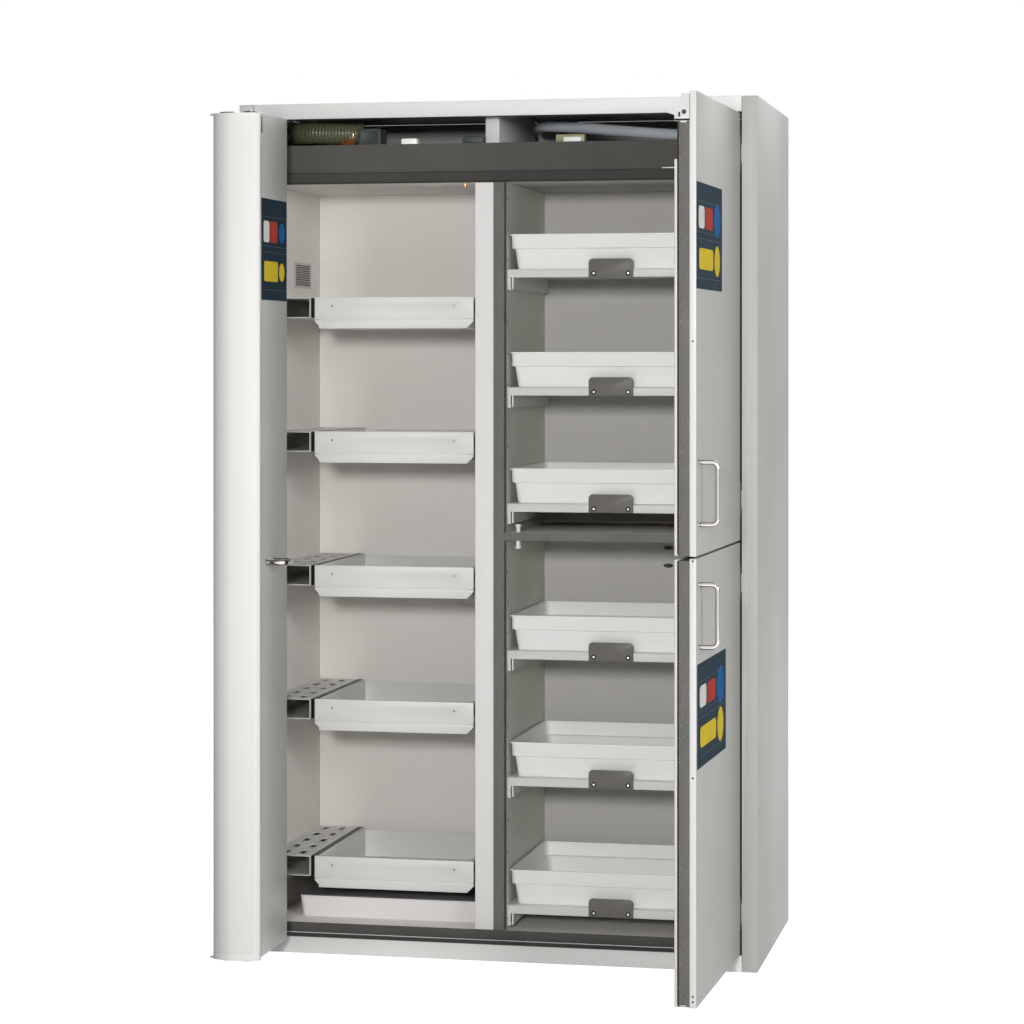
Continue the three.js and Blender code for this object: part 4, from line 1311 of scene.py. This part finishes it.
def dressFold():
    look = foldLook
    profilePivot = joints["fold_profile_hinge"]["pos_m"]
    frontPivot = joints["fold_front_hinge"]["pos_m"]
    # The leaf skins take the casing paint, a shaded copy of the powder coat
    for side in ("rear", "front"):
        body = "fold_" + side
        edgedCopy(body + "_skin", "casing_paint", "casing", 0.0005, 1, body)
        edgedCopy(body + "_core", "door_core", "core", 0.0005, 1, body)
    edgedCopy("guide_arm", "arm_steel", "zinc", body="guide_arm")

    low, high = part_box("fold_front_skin")
    head = high.z - 0.0025
    middle = ((profilePivot[0] + frontPivot[0]) / 2, frontPivot[1], 0)
    makeProfile(low.z - 0.0005, head, middle, frontPivot[0] - profilePivot[0])

    # Bow handle on the front leaf, drawn in the leaf's own frame
    low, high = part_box("fold_handle")
    face, z = look["face"], (low.z + high.z) / 2
    legs = [(x, face, z) for x in look["barLegs"]]
    handle = bowHandle("fold_handle_finished", legs, (0, -look["barOut"], 0), look, look["foot"])
    settle(turnedOn(handle, frontPivot, 90), "chrome", "handle_bar", "fold_front", "fold_handle")

    (x0, x1), (down, up) = look["plate"]
    plate = addBlock((x0, face + 0.0004, head - down), (x1, face - 0.0006, head - up))
    addFitting("leaf_hinge_plate", [plate], 0.0002, 2, "slide", "arm_steel", "fold_front", (frontPivot, 90))


dressFold()
print("folding door dressed")

# Wing doors
doorLook = {
    "freeAt": 0.002,
    "edge": 0.0009,
    "inner": 0.0008,
    "face": -0.0011,
    "barRadius": 0.005,
    "barBend": 0.014,
    "barIn": 0.028,
    "barOut": 0.04,
    "barHalf": 0.064,
    "foot": (0.0078, 0.0016, 0.0005),
    "notch": (0.0305, 0.033),
}


def doorFrame(name):
    joint = joints[f"{name}_door_hinge"]
    return joint["pos_m"], -joint["range_deg"][0]


def freeEdge(name):
    return doorLook["freeAt"] - doorFrame(name)[0][0]


def dressWingDoor(name):
    look = doorLook
    turn = doorFrame(name)
    body = "door_" + name
    free = freeEdge(name)
    skin = edgedCopy(body + "_skin", "casing_paint", "door", look["edge"], body=body)
    if name == "upper":
        # The latch plate stands free of the rail above its lobe
        back, down = look["notch"]
        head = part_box(body + "_skin")[1].z
        notch = addBlock((free - 0.002, back, head - down), (free + 0.005, 0.075, head + 0.01))
        cutAway(skin, [turnedOn(notch, *turn)])
    # Painted light and shade: the skin's face takes the darker door copy of the powder coat, the free edge
    # the paler rail paint as a lit copy, and the hinge knuckles the dark damper paint
    markFaces(skin, "rail", lambda spot, normal: normal.y < -0.7)
    markFaces(skin, "box", knuckleFaces(name + "_door_hinge"))
    edgedCopy(body + "_core", "door_core", "speckledSeal", look["inner"], body=body)
    edgedCopy(body + "_inner", "door_panel", "panel", look["inner"], body=body)
    low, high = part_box(body + "_handle")
    middle, half = (low.z + high.z) / 2, look["barHalf"]
    legs = [(free + look["barIn"], look["face"], z) for z in (middle - half, middle + half)]
    handle = bowHandle(body + "_handle_finished", legs, (0, -look["barOut"], 0), look, look["foot"])
    settle(turnedOn(handle, *turn), "chrome", "handle_bar", body, body + "_handle")


# Marks on the free edges: a thin block has a span along the leaf, one through it and one down from the head
edgeLook = {
    "latch": (0.024, 0.043),
    "roller": (0.005, 0.0016),
    "ring": (0.0068, 0.0012),
    "latchPlates": [
        ((-0.0002, 0.002), (0.0195, 0.032), (0.0642, 0.0618)),
        ((-0.0002, 0.002), (0.0132, 0.0345), (0.0565, 0.053)),
    ],
    "latchSeams": [
        ((-0.0001, 0.002), (0.012, 0.013), (0.062, 0.005)),
        ((-0.0001, 0.002), (0.032, 0.036), (0.053, 0.043)),
        ((-0.0001, 0.002), (0.013, 0.044), (0.0612, 0.0567)),
    ],
    "screwsAt": (0.064, (0.0178, 0.027)),
    "screw": (0.0024, 0.0012),
    "dotHeights": {"upper": (1.4,), "lower": (0.952, 0.51, 0.065, 0.054)},
    "dot": (0.0022, 0.0006),
    "dotIn": 0.006,
    "seam": ((-0.0001, 0.003), (0.0346, 0.0384)),
    "seamFoot": 0.004,
    "seamHead": {"upper": 0.064, "lower": 0.004},
    "catch": ((-0.0002, 0.002), (0.0195, 0.032)),
    "catchUp": (0.0035, 0.0055),
}


def edgeBlock(free, along, through, bottom, top):
    # free is where the door's free edge lies in the leaf's own frame
    return addBlock((free + along[0], through[0], bottom), (free + along[1], through[1], top))


def latchBlocks(free, head, blocks):
    return [edgeBlock(free, along, through, head - a, head - b) for along, through, (a, b) in blocks]


def dressLatch():
    # Screw, ring and catches on the latch plate at the upper door's free edge, and two screws in its face
    look = edgeLook
    free, turn = freeEdge("upper"), doorFrame("upper")
    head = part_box("door_upper_skin")[1].z
    latch = (look["latch"][0], head - look["latch"][1])
    roller = addRound((free + 0.0002, *latch), *look["roller"], "X")
    recess(roller, (-1, 0, 0), 0.002, (0.0002, 0, 0))
    addFitting("latch_screw", [roller], 0.0003, 2, "box", "arm_steel", "door_upper", turn)
    ring = addRound((free + 0.0003, *latch), *look["ring"], "X")
    pale = [ring, *latchBlocks(free, head, look["latchPlates"])]
    addFitting("latch_ring", pale, 0.0003, 2, "white", "arm_steel", "door_upper", turn)
    screws = []
    along, drops = look["screwsAt"]
    for drop in drops:
        screw = addRound((free + along, -0.0012, head - drop), *look["screw"], "Y", 20)
        screws.append(softEdges(screw, 0.0003))
    screws = turnedOn(joinPieces("upper_face_screws", screws), *turn)
    settle(screws, "zinc", "arm_steel", "door_upper")


def markEdge(name):
    # Screw dots and a long seam on a wing door's free edge, with the latch plate's seams or the lower catch
    look = edgeLook
    free, turn, body = freeEdge(name), doorFrame(name), "door_" + name
    low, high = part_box(body + "_skin")
    spots = [(free + 0.0002, look["dotIn"], z) for z in look["dotHeights"][name]]
    parts = [addRound(spot, *look["dot"], "X", 20) for spot in spots]
    parts.append(edgeBlock(free, *look["seam"], low.z + look["seamFoot"], high.z - look["seamHead"][name]))
    if name == "lower":
        catch = edgeBlock(free, *look["catch"], *(low.z + up for up in look["catchUp"]))
        addFitting("lower_catch", [catch], 0.0003, 2, "white", "arm_steel", body, turn)
    else:
        parts += latchBlocks(free, high.z, look["latchSeams"])
    addFitting(name + "_edge_marks", parts, 0.0002, 2, "line", "arm_steel", body, turn)


# Signs: plain blocks and discs on dark film, as shares of the sign's width and height
signLook = {
    # Name, leaf, span across it, span in height, and the leaf's face
    "signs": [
        ("upper_sign", "door_upper", (-0.556, -0.247), (1.508, 1.727), -0.001),
        ("lower_sign", "door_lower", (-0.548, -0.198), (0.525, 0.74), -0.001),
        ("fold_sign", "fold_front", (0.002, 0.198), (1.495, 1.721), -0.023),
    ],
    "film": 0.0006,
    "rules": (0.1, 0.47, 0.53, 0.82),
    "ruleHigh": 0.0011,
    # How far the rules and the blocks stand out from the face and start in the film
    "ruleProud": (0.0008, 0.0005),
    "blockProud": (0.0009, 0.0004),
    "round": 0.035,
    "blocks": [
        ("block_pale", "signPale", (0.08, 0.3), 0.675, 0.105),
        ("block_red", "signRed", (0.34, 0.62), 0.675, 0.105),
        ("block_amber", "signAmber", (0.1, 0.64), 0.285, 0.1),
    ],
    "discs": [
        ("disc_blue", "signBlue", 0.8, 0.675, 0.115),
        ("disc_amber", "signAmber", 0.8, 0.285, 0.105),
    ],
}


def makeSign(name, body, width, height, face):
    look = signLook
    x0, x1 = width
    z0, z1 = height
    wide, tall = x1 - x0, z1 - z0

    def finish(label, paint, parts):
        settle(turnedOn(joinPieces(label, parts), *leafFrames[body]), paint, "casing_paint", body)

    film = addBlock((x0, face - look["film"], z0), (x1, face, z1))
    finish(name, "navy", [softEdges(film, 0.0002, 1)])
    front, back = (face - proud for proud in look["ruleProud"])
    rules = []
    for z in (z0 + tall * share for share in look["rules"]):
        rules.append(addBlock((x0 + 0.001, front, z), (x1 - 0.001, back, z + look["ruleHigh"])))
    finish(name + "_rules", "signLine", rules)
    front, back = (face - proud for proud in look["blockProud"])
    for label, paint, across, up, high in look["blocks"]:
        left, right = (x0 + wide * share for share in across)
        block = addBlock((left, front, z0 + tall * (up - high)), (right, back, z0 + tall * (up + high)))
        roundEdges(block, wide * look["round"], 5, lambda centre, way: abs(way.y) > 0.9)
        finish(f"{name}_{label}", paint, [softEdges(block, 0.0001, 1)])
    for label, paint, across, up, size in look["discs"]:
        middle = (x0 + wide * across, face - look["film"], z0 + tall * up)
        disc = addRound(middle, wide * size, look["film"], "Y", 48)
        finish(f"{name}_{label}", paint, [softEdges(disc, 0.0001, 1)])


for doorName in ("upper", "lower"):
    dressWingDoor(doorName)
dressLatch()
for doorName in ("upper", "lower"):
    markEdge(doorName)
print("wing doors dressed")
leafFrames = {
    "door_upper": doorFrame("upper"),
    "door_lower": doorFrame("lower"),
    "fold_front": (joints["fold_front_hinge"]["pos_m"], 90),
}
for sign in signLook["signs"]:
    makeSign(*sign)
print("signs made")
